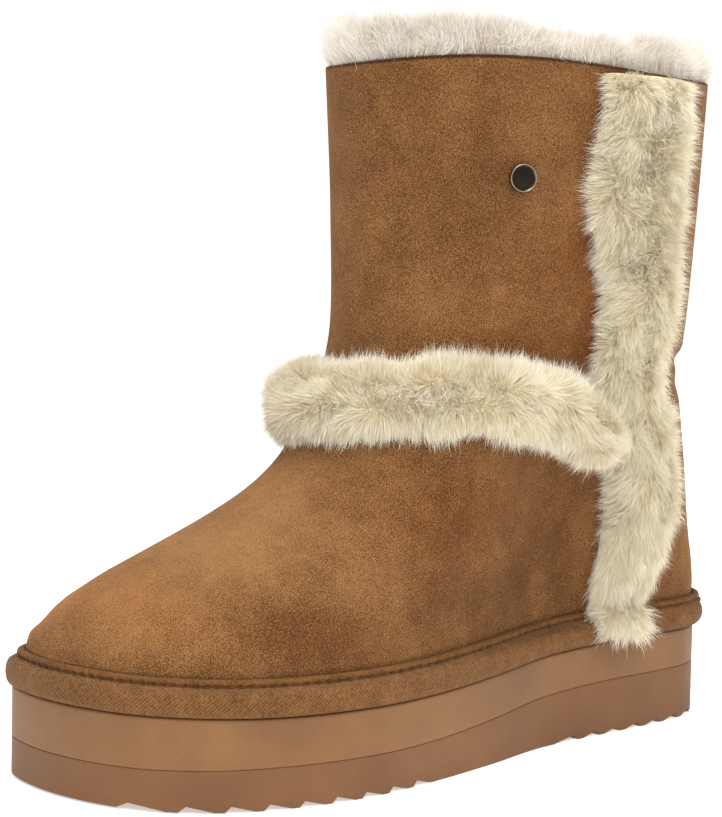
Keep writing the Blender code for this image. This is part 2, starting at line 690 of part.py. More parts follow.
def build_stud(home):
    """Round metal stud with a raised rim, turned from its profile and set on the shaft's skin."""
    radius = STUD_DIAMETER / 2
    profile = (
        (0.0, STUD_RISE * 0.72),
        (radius * 0.72, STUD_RISE * 0.66),
        (radius * 0.78, STUD_RISE),
        (radius * 0.92, STUD_RISE),
        (radius, STUD_RISE * 0.70),
        (radius, STUD_RISE * 0.15),
        (radius * 0.92, 0.0),
        (0.0, 0.0),
    )
    made = bmesh.new()
    verts = [made.verts.new((out, 0.0, up)) for out, up in profile]
    edges = [made.edges.new(pair) for pair in zip(verts, verts[1:])]
    bmesh.ops.spin(
        made,
        geom=verts + edges,
        cent=(0, 0, 0),
        axis=(0, 0, 1),
        angle=2 * math.pi,
        steps=STUD_STEPS,
        use_merge=True,
    )
    stud = finished("stud", made, home, material("stud_gunmetal", (0.050, 0.040, 0.032), 0.35, 1.0))
    rise = rise_at(np.array([0.2]), np.array([STUD_HEIGHT]))
    turn = around_at(np.array([STUD_PLACE]), rise, 1)
    seat = off_skin(turn, rise, np.array([GAP]))[0]
    normal = Vector(off_skin(turn, rise, np.array([1.0]))[0] - skin(turn, rise)[0]).normalized()
    turned = normal.to_track_quat("Z", "Y").to_matrix().to_4x4()
    stud.matrix_world = Matrix.Translation(Vector(seat)) @ turned


def stand_over_origin(home):
    """Hangs every piece on one empty that puts the middle of the box's bottom at the origin."""
    bpy.context.view_layer.update()
    graph = bpy.context.evaluated_depsgraph_get()
    corners = []
    for piece in home.objects:
        solid = piece.evaluated_get(graph)
        mesh = solid.to_mesh()
        corners += [solid.matrix_world @ vert.co for vert in mesh.vertices]
        solid.to_mesh_clear()
    low = Vector(min(corner[axis] for corner in corners) for axis in range(3))
    high = Vector(max(corner[axis] for corner in corners) for axis in range(3))
    origin = bpy.data.objects.new("boot_origin", None)
    home.objects.link(origin)
    origin.location = (-(low.x + high.x) / 2, -(low.y + high.y) / 2, -low.z)
    for piece in list(home.objects) + list(bpy.data.collections["cutters"].objects):
        if piece is not origin:
            piece.parent = origin


def main():
    for thing in list(bpy.data.objects):
        bpy.data.objects.remove(thing, do_unlink=True)
    home = collection("sheepskin_boot")
    cutters = collection("cutters")
    build_soles(home, cutters)
    build_insole(home)
    build_upper(home)
    build_binding(home)
    fleece = material("fleece_cream", (0.68, 0.58, 0.40), 0.95)
    build_collar_fur(home, fleece.copy())
    build_strip(home, fleece.copy())
    build_band(home, fleece)
    build_stud(home)
    stand_over_origin(home)


main()
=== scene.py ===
"""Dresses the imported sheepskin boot: napped suede, fleece, twill tape, moulded foam and a metal stud.

Metres, +Z up. The last's own frame has the toe to -Y, the outer side of the foot to +X, the floor at
Z = 0 and the middle of the sole's length at Y = 0. Last.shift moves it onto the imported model.
"""

import logging
import math
from collections.abc import Callable
from dataclasses import dataclass
from enum import Enum

import bmesh
import bpy
import numpy as np
from mathutils import Matrix, Vector

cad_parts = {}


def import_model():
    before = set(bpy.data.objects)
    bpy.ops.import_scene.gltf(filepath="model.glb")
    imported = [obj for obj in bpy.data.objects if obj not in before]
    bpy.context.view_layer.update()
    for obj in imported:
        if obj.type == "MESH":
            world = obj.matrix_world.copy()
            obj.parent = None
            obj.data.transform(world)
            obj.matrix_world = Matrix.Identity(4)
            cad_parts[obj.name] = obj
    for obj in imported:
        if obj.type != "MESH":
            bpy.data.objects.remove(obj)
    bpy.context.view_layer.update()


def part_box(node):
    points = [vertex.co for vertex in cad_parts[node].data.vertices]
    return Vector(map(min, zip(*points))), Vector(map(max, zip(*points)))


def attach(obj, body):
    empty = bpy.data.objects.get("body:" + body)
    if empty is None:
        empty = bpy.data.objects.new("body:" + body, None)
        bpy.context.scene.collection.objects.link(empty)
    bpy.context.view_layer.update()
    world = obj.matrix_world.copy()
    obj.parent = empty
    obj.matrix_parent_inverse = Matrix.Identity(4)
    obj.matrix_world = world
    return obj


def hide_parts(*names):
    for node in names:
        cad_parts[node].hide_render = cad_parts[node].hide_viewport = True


LOG = logging.getLogger("boot")
MM = 0.001
Array = np.ndarray
Place = Callable[[Array, Array], Array]
Colour = tuple[float, float, float, float]
Tree = bpy.types.NodeTree
Socket = bpy.types.NodeSocket
Sheet = bmesh.types.BMesh


def smooth(low: float, high: float, value: Array) -> Array:
    """A soft step.

    Args:
        low: value at and below which the result is 0.
        high: value at and above which the result is 1.
        value: numbers to look up.

    Returns:
        The shares between 0 and 1.
    """
    share = np.clip((np.asarray(value, float) - low) / (high - low), 0.0, 1.0)
    return share * share * (3.0 - 2.0 * share)


def spline(knots: Array, values: Array, at: Array) -> Array:
    """A cubic curve through the rows, whose slope at each row follows its neighbours.

    Args:
        knots: rising places of the rows.
        values: values of the rows.
        at: places to look up.

    Returns:
        The curve's values there.
    """
    knots = np.asarray(knots, float)
    values = np.asarray(values, float)
    slopes = np.gradient(values, knots)
    at = np.clip(at, knots[0], knots[-1])
    low = np.clip(np.searchsorted(knots, at, side="right") - 1, 0, len(knots) - 2)
    gap = knots[low + 1] - knots[low]
    t = (at - knots[low]) / gap
    start = values[low] * (1 + 2 * t) * (1 - t) ** 2 + slopes[low] * gap * t * (1 - t) ** 2
    end = values[low + 1] * t * t * (3 - 2 * t) + slopes[low + 1] * gap * t * t * (t - 1)
    return start + end


def unit(vectors: Array) -> Array:
    """The vectors, each of length 1."""
    return vectors / np.maximum(np.linalg.norm(vectors, axis=-1, keepdims=True), 1e-12)


def ripple(across: Array, along: Array, cells: tuple[int, int], seed: int) -> Array:
    """Soft random waves over a sheet, from a grid of random values that is read smoothly.

    Args:
        across: places across the sheet, 0 to 1. The waves close there, so they fit a ring.
        along: places along the sheet, 0 to 1.
        cells: how many waves lie across and along it.
        seed: which random values.

    Returns:
        Three values for each place, about -1 to 1.
    """
    chance = np.random.default_rng(seed)
    grid = chance.uniform(-1.0, 1.0, (cells[0], cells[1] + 2, 3))
    x = np.asarray(across, float) % 1.0 * cells[0]
    y = np.clip(along, 0.0, 1.0) * cells[1]
    i, j = np.floor(x).astype(int), np.minimum(np.floor(y).astype(int), cells[1])
    fx, fy = (x - i)[..., None], (y - j)[..., None]
    fx, fy = fx * fx * (3 - 2 * fx), fy * fy * (3 - 2 * fy)
    i, after = i % cells[0], (i + 1) % cells[0]
    low = grid[i, j] * (1 - fx) + grid[after, j] * fx
    high = grid[i, j + 1] * (1 - fx) + grid[after, j + 1] * fx
    return low * (1 - fy) + high * fy


@dataclass(frozen=True)
class Last:
    """The boot's form: the same sizes and functions as the solids, read as finely as a piece needs."""

    length: float = 0.270
    ball_width: float = 0.105
    heel_width: float = 0.0715
    sole_at_heel: float = 0.0325
    sole_at_ball: float = 0.0276
    toe_lift: float = 0.0012
    parting_at_heel: float = 0.0190
    parting_at_ball: float = 0.0128
    feather_inset: float = 0.0042
    heel_inset: float = 0.0008
    ankle_height: float = 0.1260
    collar_height: float = 0.2275
    collar_length: float = 0.1582
    collar_width: float = 0.1022
    shaft_set_back: float = 0.0525
    binding_height: float = 0.0116
    gap: float = 0.0003
    wall: float = 0.0025
    toe_tip_inward: float = 0.115
    wave: float = 0.0013
    wave_crest: float = 0.15
    shaft_turn: float = 0.0200
    shift: tuple[float, float, float] = (0.0, 0.0, 0.0)

    # Share of the length from the heel, outer and inner half width as shares of the local width.
    OUTLINE = (
        (0.030, 0.290, 0.284),
        (0.080, 0.430, 0.420),
        (0.150, 0.478, 0.482),
        (0.250, 0.496, 0.510),
        (0.380, 0.486, 0.442),
        (0.500, 0.474, 0.398),
        (0.620, 0.482, 0.430),
        (0.720, 0.505, 0.493),
        (0.820, 0.472, 0.518),
        (0.900, 0.394, 0.492),
        (0.955, 0.268, 0.430),
        (0.985, 0.118, 0.342),
    )
    # Front and back place (half lengths), front and back height (ankle heights), width, share of shaft.
    FOOT_RINGS = (
        (-0.9689, 0.9941, 0.3200, 0.3500, 1.000, 0.00),
        (-0.9480, 0.9900, 0.3970, 0.4210, 1.022, 0.00),
        (-0.8740, 0.9720, 0.4680, 0.4920, 1.030, 0.00),
        (-0.7700, 0.9580, 0.5240, 0.5710, 1.035, 0.00),
        (-0.6440, 0.9470, 0.5850, 0.6510, 1.045, 0.00),
        (-0.5185, 0.9360, 0.6500, 0.7300, 1.060, 0.04),
        (-0.4000, 0.9220, 0.7220, 0.8100, 1.080, 0.12),
        (-0.3040, 0.9100, 0.8040, 0.8810, 1.105, 0.30),
        (-0.2370, 0.8990, 0.9030, 0.9440, 1.130, 0.56),
        (-0.1930, 0.8910, 1.0000, 1.0000, 1.150, 0.80),
    )
    # Front and back place (half collar lengths), front and back height, width, share of shaft.
    SHAFT_RINGS = (
        (0.958, 0.912, 0.138, 0.108, 0.910, 0.95),
        (0.962, 0.937, 0.315, 0.296, 0.930, 1.00),
        (0.967, 0.962, 0.581, 0.571, 0.965, 1.00),
        (1.000, 1.000, 1.000, 1.000, 1.000, 1.00),
    )
    WIDTH_CHANGE = (0.30, 0.62)
    LAST_FOOT_WIDTH = 1.15
    ANKLE_WIDTH = (0.860, 0.895)
    ANKLE_WIDTH_FROM = 0.73

    def __post_init__(self) -> None:
        """Works out what every look-up needs once."""
        store = object.__setattr__
        store(self, "feather", self.half_widths(lambda y: -self.inset(y)))
        store(self, "toe_tip", -self.length / 2 + self.feather_inset)
        store(self, "heel_tip", self.length / 2 - self.heel_inset)
        store(self, "top", len(self.FOOT_RINGS) + len(self.SHAFT_RINGS) - 1.0)
        store(self, "column", self.ring_columns())

    def from_heel(self, y: Array) -> Array:
        """Share of the length from the heel's back to the place y."""
        return 0.5 - np.asarray(y, float) / self.length

    def sole_top(self, y: Array) -> Array:
        """Height of the platform's top at the place y."""
        share = self.from_heel(y)
        fall = (self.sole_at_ball - self.sole_at_heel) * smooth(0.22, 0.68, share)
        return self.sole_at_heel + fall + self.toe_lift * smooth(0.80, 1.0, share)

    def parting(self, y: Array) -> Array:
        """Height of the line between outsole and midsole at the place y."""
        change = (self.parting_at_ball - self.parting_at_heel) * smooth(0.22, 0.68, self.from_heel(y))
        return self.parting_at_heel + change

    def inset(self, y: Array) -> Array:
        """How far the upper's foot stands in from the sole's edge at the place y."""
        change = (self.feather_inset - self.heel_inset) * smooth(0.05, 0.36, self.from_heel(y))
        return self.heel_inset + change

    def outline(self, count: int, offset: float | Callable[[Array], Array] = 0.0) -> Array:
        """Points round the sole, from the toe tip along the outer side to the heel and back.

        Args:
            count: how many points, evenly spaced.
            offset: how far they move outwards, one distance or a function of y.

        Returns:
            An array of x and y, one row for each point.
        """
        width = self.heel_width + (self.ball_width - self.heel_width) * smooth(
            *self.WIDTH_CHANGE, np.array([row[0] for row in self.OUTLINE])
        )
        outer = [(row[1] * wide, (0.5 - row[0]) * self.length) for row, wide in zip(self.OUTLINE, width)]
        inner = [(-row[2] * wide, (0.5 - row[0]) * self.length) for row, wide in zip(self.OUTLINE, width)]
        toe = (-self.toe_tip_inward * self.ball_width, -self.length / 2)
        once = np.array([toe] + outer[::-1] + [(0.0, self.length / 2)] + inner)
        points = np.vstack([once[-3:], once, once[:4]])
        chord = np.sqrt(np.linalg.norm(np.diff(points, axis=0), axis=1))
        knots = np.concatenate([[0.0], np.cumsum(chord)])
        at = np.linspace(knots[3], knots[3 + len(once)], 40 * count + 1)
        dense = np.column_stack([spline(knots, points[:, 0], at), spline(knots, points[:, 1], at)])
        along = np.concatenate([[0.0], np.cumsum(np.linalg.norm(np.diff(dense, axis=0), axis=1))])
        even = np.linspace(0.0, along[-1], count, endpoint=False)
        ring = np.column_stack([np.interp(even, along, dense[:, 0]), np.interp(even, along, dense[:, 1])])
        run = unit(np.roll(ring, -1, axis=0) - np.roll(ring, 1, axis=0))
        out = offset(ring[:, 1]) if callable(offset) else np.full(count, offset)
        return ring + out[:, None] * np.column_stack([run[:, 1], -run[:, 0]])

    def half_widths(self, offset: float | Callable[[Array], Array]) -> tuple[Callable, Callable]:
        """Functions of y for the outline's outer and inner half width.

        Args:
            offset: how far the outline is moved outwards first.

        Returns:
            The function for the outer side and the one for the inner side.
        """
        ring = self.outline(720, offset)
        ring = np.roll(ring, -int(np.argmin(ring[:, 1])), axis=0)
        heel = int(np.argmax(ring[:, 1]))
        outer = ring[: heel + 1]
        inner = np.vstack([ring[:1], ring[heel:][::-1]])
        return (
            lambda y: np.interp(y, outer[:, 1], outer[:, 0]),
            lambda y: np.interp(y, inner[:, 1], inner[:, 0]),
        )

    def ring_columns(self) -> dict[str, Array]:
        """Every ring's sizes in metres, foot and shaft together, one array for each column."""
        over = self.collar_height - self.ankle_height
        half_width = self.collar_width / 2
        rows = []
        for front, back, front_up, back_up, wide, shaft in self.FOOT_RINGS:
            half = half_width * float(np.interp(back_up, (self.ANKLE_WIDTH_FROM, 1.0), self.ANKLE_WIDTH))
            place = (front * self.length / 2, back * self.length / 2)
            height = (front_up * self.ankle_height, back_up * self.ankle_height)
            rows.append((*place, *height, wide, half, shaft))
        for front, back, front_up, back_up, wide, shaft in self.SHAFT_RINGS:
            reach = self.collar_length / 2
            place = (self.shaft_set_back - front * reach, self.shaft_set_back + back * reach)
            height = (self.ankle_height + front_up * over, self.ankle_height + back_up * over)
            rows.append((*place, *height, self.LAST_FOOT_WIDTH, half_width * wide, shaft))
        names = ("front_y", "back_y", "front_z", "back_z", "foot_wide", "shaft_half", "shaft")
        columns = dict(zip(names, np.array(rows).T))
        columns["front_y"][0], columns["back_y"][0] = self.toe_tip, self.heel_tip
        columns["front_z"][0] = self.sole_top(self.toe_tip) + self.binding_height
        columns["back_z"][0] = self.sole_top(self.heel_tip) + self.binding_height
        return columns

    def ridge(self, y: Array) -> Array:
        """Height of the upper's front line over the place y, climbing ever steeper at the shaft."""
        front_y = self.column["front_y"][: len(self.FOOT_RINGS)]
        front_z = self.column["front_z"][: len(self.FOOT_RINGS)]
        slope = (front_z[-1] - front_z[-2]) / (front_y[-1] - front_y[-2])
        past = np.maximum(0.0, y - front_y[-1])
        return spline(front_y, front_z, y) + slope * past + (past / self.shaft_turn) ** 2 * self.ankle_height

    def skin(self, around: Array, rise: Array) -> Array:
        """Point on the outside of the upper.

        Args:
            around: 0 at the toe, 0.25 on the outer side, 0.5 at the heel, 1 at the toe again.
            rise: -1 at the sole, 0 at the binding's top, up to self.top at the collar.

        Returns:
            The points, with x, y and z in the last axis.
        """
        around, rise = np.broadcast_arrays(np.asarray(around, float), np.asarray(rise, float))
        numbers = np.arange(self.top + 1)
        ring = np.clip(rise, 0.0, self.top)
        value = {name: spline(numbers, column, ring) for name, column in self.column.items()}
        share = (1.0 - np.cos(2 * np.pi * around)) / 2
        y = value["front_y"] + (value["back_y"] - value["front_y"]) * share
        z = value["front_z"] + (value["back_z"] - value["front_z"]) * share
        outline_y = y + (self.heel_tip - value["back_y"]) * smooth(0.35, 1.0, share)
        low = self.sole_top(y) + self.binding_height
        over = self.ridge(y) + value["front_z"] - self.ridge(value["front_y"])
        q = np.clip((z - low) / np.maximum(over - low, 1e-6), 0.0, 1.0)
        outer_foot = self.feather[0](outline_y) * value["foot_wide"]
        inner_foot = self.feather[1](outline_y) * value["foot_wide"]
        half_foot = (outer_foot - inner_foot) / 2 * np.sqrt(1.0 - q * q)
        half_shaft = value["shaft_half"] * np.abs(np.sin(2 * np.pi * around))
        half = half_foot + (half_shaft - half_foot) * value["shaft"]
        side = np.where(np.sin(2 * np.pi * around) >= 0, 1.0, -1.0)
        x = (outer_foot + inner_foot) / 2 * (1 - value["shaft"]) + side * half
        climb = np.clip(rise + 1.0, 0.0, 1.0)
        foot_z = self.sole_top(y) + self.gap + (self.binding_height - self.gap) * climb
        z = foot_z + (z - foot_z) * np.clip(rise, 0.0, 1.0)
        waved = smooth(self.top - 0.8, self.top, rise) * np.cos(6 * np.pi * (around - self.wave_crest))
        return np.stack([x, y, z + self.wave * waved], axis=-1)

    def normal(self, around: Array, rise: Array) -> Array:
        """Outward unit normal of the upper at the place."""
        step_around, step_rise = 4e-3, 2e-2
        along = self.skin(around + step_around, rise) - self.skin(around - step_around, rise)
        up = self.skin(around, rise + step_rise) - self.skin(around, rise - step_rise)
        return unit(np.cross(along, up))

    def off_skin(self, around: Array, rise: Array, out: Array) -> Array:
        """Point at the distance out from the upper's outside, along its normal."""
        return self.skin(around, rise) + self.normal(around, rise) * np.asarray(out, float)[..., None]

    def around_at(self, y: Array, rise: Array, side: Array) -> Array:
        """Where on the ring the place y lies, on the outer side (1) or the inner side (-1)."""
        front = self.skin(np.zeros_like(rise), rise)[..., 1]
        back = self.skin(np.full_like(rise, 0.5), rise)[..., 1]
        share = np.clip((y - front) / (back - front), 0.0, 1.0)
        return np.arccos(1.0 - 2.0 * share) / (2 * np.pi) * side

    def rise_at(self, around: Array, height: Array) -> Array:
        """Ring number at which the skin reaches the height."""
        numbers = np.linspace(-1.0, self.top, 160)
        turns = np.ravel(around)
        climb = self.skin(turns[:, None], numbers[None, :])[..., 2]
        found = [np.interp(high, row, numbers) for high, row in zip(np.ravel(height), climb)]
        return np.array(found).reshape(np.shape(around))

    def place_at(self, y: Array, height: Array, side: float) -> tuple[Array, Array]:
        """Around and rise of the skin's point at the place y and the height on one side."""
        around = np.full(np.shape(y), 0.3 * side)
        for _ in range(4):
            rise = self.rise_at(around, height)
            around = self.around_at(y, rise, side)
        return around, rise


def linear(code: str) -> Colour:
    """Linear colour of an sRGB hex code such as "#8A5D38"."""
    channels = [int(code[at : at + 2], 16) / 255 for at in (1, 3, 5)]
    return (*[c / 12.92 if c <= 0.04045 else ((c + 0.055) / 1.055) ** 2.4 for c in channels], 1.0)


def supply(tree: Tree, socket: Socket, value: object) -> None:
    """Gives an input its value, or links it to the socket that feeds it."""
    if isinstance(value, Socket):
        tree.links.new(value, socket)
    else:
        socket.default_value = value


def add(tree: Tree, kind: str, settings: dict | None = None, **links: object) -> bpy.types.Node:
    """Adds a node with its settings and what feeds its sockets.

    Args:
        tree: tree that takes the node.
        kind: Blender's name for the node's type.
        settings: properties of the node.
        **links: for each input, by its name with _ for a space, a value or the socket that feeds it.

    Returns:
        The node.
    """
    made = tree.nodes.new(kind)
    for name, value in (settings or {}).items():
        setattr(made, name, value)
    for name, value in links.items():
        sockets = [item for item in made.inputs if item.name.replace(" ", "_") == name and item.enabled]
        number = int(name[1:]) if name[0] == "i" and name[1:].isdigit() else None
        socket = made.inputs[number] if number is not None else sockets[0]
        supply(tree, socket, value)
    return made


def ramp(tree: Tree, feed: Socket, stops: dict[float, str]) -> Socket:
    """A colour ramp fed by a socket, with its stops as place: hex code."""
    made = add(tree, "ShaderNodeValToRGB", Fac=feed)
    marks = made.color_ramp.elements
    for number, place in enumerate(stops):
        mark = marks[number] if number < 2 else marks.new(place)
        mark.position = place
    for mark, code in zip(marks, stops.values()):
        mark.color = linear(code)
    return made.outputs["Color"]


def grain(tree: Tree, size_mm: float, detail: float, warp: float = 0.0) -> Socket:
    """Noise over the piece's own coordinates, whose grains are size_mm across."""
    place = add(tree, "ShaderNodeTexCoord").outputs["Object"]
    scale = 1.0 / (size_mm * MM)
    noise = add(tree, "ShaderNodeTexNoise", Vector=place, Scale=scale, Detail=detail, Distortion=warp)
    return noise.outputs["Fac"]


def work_out(tree: Tree, operation: str, *values: object) -> Socket:
    """The result of one sum on numbers or sockets."""
    inputs = {f"i{number}": value for number, value in enumerate(values)}
    return add(tree, "ShaderNodeMath", {"operation": operation}, **inputs).outputs[0]


def tinted(tree: Tree, colour: Socket, share: object, tint: object) -> Socket:
    """The colour, multiplied by the tint as far as the share says."""
    settings = {"data_type": "RGBA", "blend_type": "MULTIPLY"}
    return add(tree, "ShaderNodeMix", settings, i0=share, i6=colour, i7=tint).outputs[2]


def written(tree: Tree, name: str) -> Socket:
    """The value that a piece's mesh holds under the name."""
    return add(tree, "ShaderNodeAttribute", {"attribute_name": name}).outputs["Fac"]


def raised(tree: Tree, height: Socket, strength: float, depth_mm: float, **under: Socket) -> Socket:
    """The surface's direction, raised by the height over what lies under it."""
    settings = {"Strength": strength, "Distance": depth_mm * MM, "Height": height}
    return add(tree, "ShaderNodeBump", **settings, **under).outputs[0]


class Finish:
    """What every finish shares: a material with one Principled shader, fed by its own paint method."""

    name: str
    roughness: float
    metallic: float = 0.0
    sheen: float = 0.0
    gloss: float = 0.5

    def paint(self, tree: Tree) -> dict[str, object]:
        """Makes the finish's nodes and says what each input of the shader takes."""
        raise NotImplementedError

    def material(self) -> bpy.types.Material:
        """The finish as a material."""
        made = bpy.data.materials.new(self.name)
        made.use_nodes = True
        tree = made.node_tree
        sockets = tree.nodes["Principled BSDF"].inputs
        plain = {
            "Roughness": self.roughness,
            "Metallic": self.metallic,
            "Sheen Weight": self.sheen,
            "Specular IOR Level": self.gloss,
        }
        for name, value in (plain | self.paint(tree)).items():
            supply(tree, sockets[name], value)
        return made


@dataclass(frozen=True)
class NappedSuede(Finish):
    """Chestnut suede of a sheepskin, buffed on the flesh side.

    Its nap stands in patches that lie different ways, so it looks lighter, redder or more olive from
    place to place; its lighter and darker patches also hold painted light and shade. Its short fibres give a
    fine speckle with no gloss.
    """

    name: str = "napped_suede"
    roughness: float = 0.92
    dark: str = "#3F240E"
    middle: str = "#664325"
    light: str = "#946B44"
    patch_mm: float = 26.0
    brushed_mm: float = 6.0
    nap_mm: float = 0.31
    nap_depth_mm: float = 0.16
    brushed_depth_mm: float = 0.6
    sheen: float = 0.22
    sheen_tint: str = "#C79A6C"
    gloss: float = 0.12
    rust_tint: Colour = (1.22, 0.92, 0.66, 1.0)
    olive_tint: Colour = (0.97, 0.99, 0.94, 1.0)
    edge_tint: Colour = (0.30, 0.28, 0.28, 1.0)

    def paint(self, tree: Tree) -> dict[str, object]:
        """Colours the nap in three sizes of patch and raises its fibres."""
        brushed, nap = grain(tree, self.brushed_mm, 2.0), grain(tree, self.nap_mm, 2.0)
        parts = ((grain(tree, self.patch_mm, 3.0), 0.60), (brushed, 0.26), (nap, 2.5))
        # The patches' values hold the nap's own tone and painted light and shade.
        total = written(tree, "tone")
        for texture, share in parts:
            total = work_out(tree, "MULTIPLY_ADD", texture, share, total)
        level = work_out(tree, "SUBTRACT", total, sum(share for _, share in parts) / 2)
        colour = ramp(tree, level, {0.10: self.dark, 0.50: self.middle, 0.92: self.light})
        colour = tinted(tree, colour, written(tree, "rust"), self.rust_tint)
        colour = tinted(tree, colour, grain(tree, 2.0 * self.patch_mm, 1.0), self.olive_tint)
        colour = tinted(tree, colour, written(tree, "cut_edge"), self.edge_tint)
        fibres = raised(tree, nap, 0.85, self.nap_depth_mm)
        hide = raised(tree, brushed, 0.5, self.brushed_depth_mm, Normal=fibres)
        sheen = {"Sheen Roughness": 0.55, "Sheen Tint": linear(self.sheen_tint)}
        return {"Base Color": colour, "Normal": hide} | sheen


@dataclass(frozen=True)
class TwillTape(Finish):
    """Woven cotton twill tape in brown: slanting ribs of two close shades, dull and dry."""

    name: str = "cotton_twill_tape"
    roughness: float = 0.85
    dark: str = "#472D17"
    light: str = "#865E38"
    rib_mm: float = 0.74
    rib_turn: float = 4.2
    run: float = 0.55
    steepness: float = 0.85
    depth_mm: float = 0.3
    yarn_mm: float = 0.9
    slub_mm: float = 6.0
    felt_tint: Colour = (0.94, 0.86, 0.68, 1.0)
    sheen: float = 0.05
    gloss: float = 0.1

    def paint(self, tree: Tree) -> dict[str, object]:
        """Draws the slanting ribs over the tape's own length and width, in millimetres, and raises them."""
        tape = add(tree, "ShaderNodeUVMap", {"uv_map": "tape"}).outputs["UV"]
        apart = add(tree, "ShaderNodeSeparateXYZ", Vector=tape).outputs
        fold = work_out(tree, "PINGPONG", apart["Y"], self.rib_turn)
        steep = work_out(tree, "MULTIPLY", fold, self.steepness)
        slant = work_out(tree, "MULTIPLY_ADD", apart["X"], self.run, steep)
        rib = work_out(tree, "SINE", work_out(tree, "MULTIPLY", slant, 2 * math.pi / self.rib_mm))
        level = work_out(tree, "MULTIPLY_ADD", rib, 0.14, grain(tree, self.yarn_mm, 2.0))
        level = work_out(tree, "MULTIPLY_ADD", grain(tree, self.slub_mm, 2.0), 0.5, level)
        level = work_out(tree, "SUBTRACT", level, 0.25)
        colour = ramp(tree, level, {0.10: self.dark, 0.90: self.light})
        colour = tinted(tree, colour, written(tree, "felt"), self.felt_tint)
        return {"Base Color": colour, "Normal": raised(tree, level, 0.7, self.depth_mm)}


@dataclass(frozen=True)
class MouldedFoam(Finish):
    """Moulded EVA foam: one even warm brown with a skin so fine that its gloss is broad and weak."""

    name: str
    roughness: float
    dark: str
    light: str
    cloud_mm: float = 30.0
    skin_mm: float = 0.7
    depth_mm: float = 0.08
    gloss: float = 0.35

    def paint(self, tree: Tree) -> dict[str, object]:
        """Clouds the colour faintly and gives the skin its fine tooth."""
        tooth = grain(tree, self.skin_mm, 2.0)
        level = work_out(tree, "MULTIPLY_ADD", tooth, 0.35, grain(tree, self.cloud_mm, 3.0))
        colour = ramp(tree, level, {0.35: self.dark, 1.0: self.light})
        return {"Base Color": colour, "Normal": raised(tree, tooth, 0.35, self.depth_mm)}


@dataclass(frozen=True)
class Wool(Finish):
    """Sheepskin wool, cream: yellower and darker near the skin, paler at the tips, soft and matt."""

    name: str = "sheepskin_wool"
    roughness: float = 0.75
    root: str = "#DCCFAB"
    body: str = "#E9E1C9"
    tip: str = "#F1EDDF"
    tuft_mm: float = 9.0
    sheen: float = 0.4
    gloss: float = 0.1
    # Painted shade: the lowest share of each colour channel, reached on the boot's inner side.
    painted_side_shade: tuple[float, ...] = ()
    shaded_from: float = -0.002
    shaded_to: float = -0.036

    def paint(self, tree: Tree) -> dict[str, object]:
        """Colours each strand along its length, with tufts and strands that differ a little."""
        strand = add(tree, "ShaderNodeUVMap", {"uv_map": "strand"}).outputs["UV"]
        apart = add(tree, "ShaderNodeSeparateXYZ", Vector=strand).outputs
        own = work_out(tree, "MULTIPLY_ADD", apart["X"], 0.16, apart["Y"])
        level = work_out(tree, "MULTIPLY_ADD", grain(tree, self.tuft_mm, 3.0), 0.9, own)
        level = work_out(tree, "SUBTRACT", level, 0.53)
        colour = ramp(tree, level, {0.0: self.root, 0.45: self.body, 0.95: self.tip})
        # Painted shade towards the boot's inner side, when its side shares are given.
        if self.painted_side_shade:
            colour = tinted(tree, colour, 1.0, self.shade(tree))
        return {"Base Color": colour, "Sheen Roughness": 0.4}

    def shade(self, tree: Tree) -> Socket:
        """Painted shade: a tint that darkens the wool towards the boot's inner side."""
        place = add(tree, "ShaderNodeTexCoord").outputs["Object"]
        x = add(tree, "ShaderNodeSeparateXYZ", Vector=place).outputs["X"]
        made = add(tree, "ShaderNodeCombineColor")
        for low, socket in zip(self.painted_side_shade, made.inputs):
            span = {"i1": self.shaded_to, "i2": self.shaded_from, "i3": low, "i4": 1.0}
            tree.links.new(add(tree, "ShaderNodeMapRange", i0=x, **span).outputs[0], socket)
        return made.outputs[0]


@dataclass(frozen=True)
class FleeceCloth(Finish):
    """Close curled fleece seen from afar, for the lining and the sock: cream curls a few mm across."""

    name: str = "curled_fleece"
    roughness: float = 0.9
    dark: str = "#DACDAA"
    light: str = "#F1EBDA"
    curl_mm: float = 2.6
    depth_mm: float = 1.2
    sheen: float = 0.3
    gloss: float = 0.1

    def paint(self, tree: Tree) -> dict[str, object]:
        """Draws the curls as raised cells."""
        curls = grain(tree, self.curl_mm, 4.0, 1.4)
        colour = ramp(tree, curls, {0.28: self.dark, 0.66: self.light})
        return {"Base Color": colour, "Normal": raised(tree, curls, 0.9, self.depth_mm)}


@dataclass(frozen=True)
class Thread(Finish):
    """Twisted polyester sewing thread, dark brown with a weak gloss on each turn."""

    name: str = "sewing_thread"
    roughness: float = 0.6
    dark: str = "#3E2A18"
    light: str = "#5E4028"
    twist_mm: float = 0.5

    def paint(self, tree: Tree) -> dict[str, object]:
        """Shades the thread's twist."""
        twist = grain(tree, self.twist_mm, 1.0)
        return {"Base Color": ramp(tree, twist, {0.3: self.dark, 0.7: self.light})}


@dataclass(frozen=True)
class Gunmetal(Finish):
    """Plated brass with a dark gunmetal coat, rubbed bright where it stands highest."""

    name: str = "gunmetal_plate"
    roughness: float = 0.34
    metallic: float = 1.0
    dark: str = "#2B251F"
    bright: str = "#8F8474"
    stain_mm: float = 1.6

    def paint(self, tree: Tree) -> dict[str, object]:
        """Lays the dark coat over the face and rubs the rim bright."""
        worn = work_out(tree, "MULTIPLY_ADD", grain(tree, self.stain_mm, 3.0), 0.35, written(tree, "rub"))
        level = work_out(tree, "SUBTRACT", worn, 0.17)
        return {"Base Color": ramp(tree, level, {0.05: self.dark, 0.95: self.bright})}


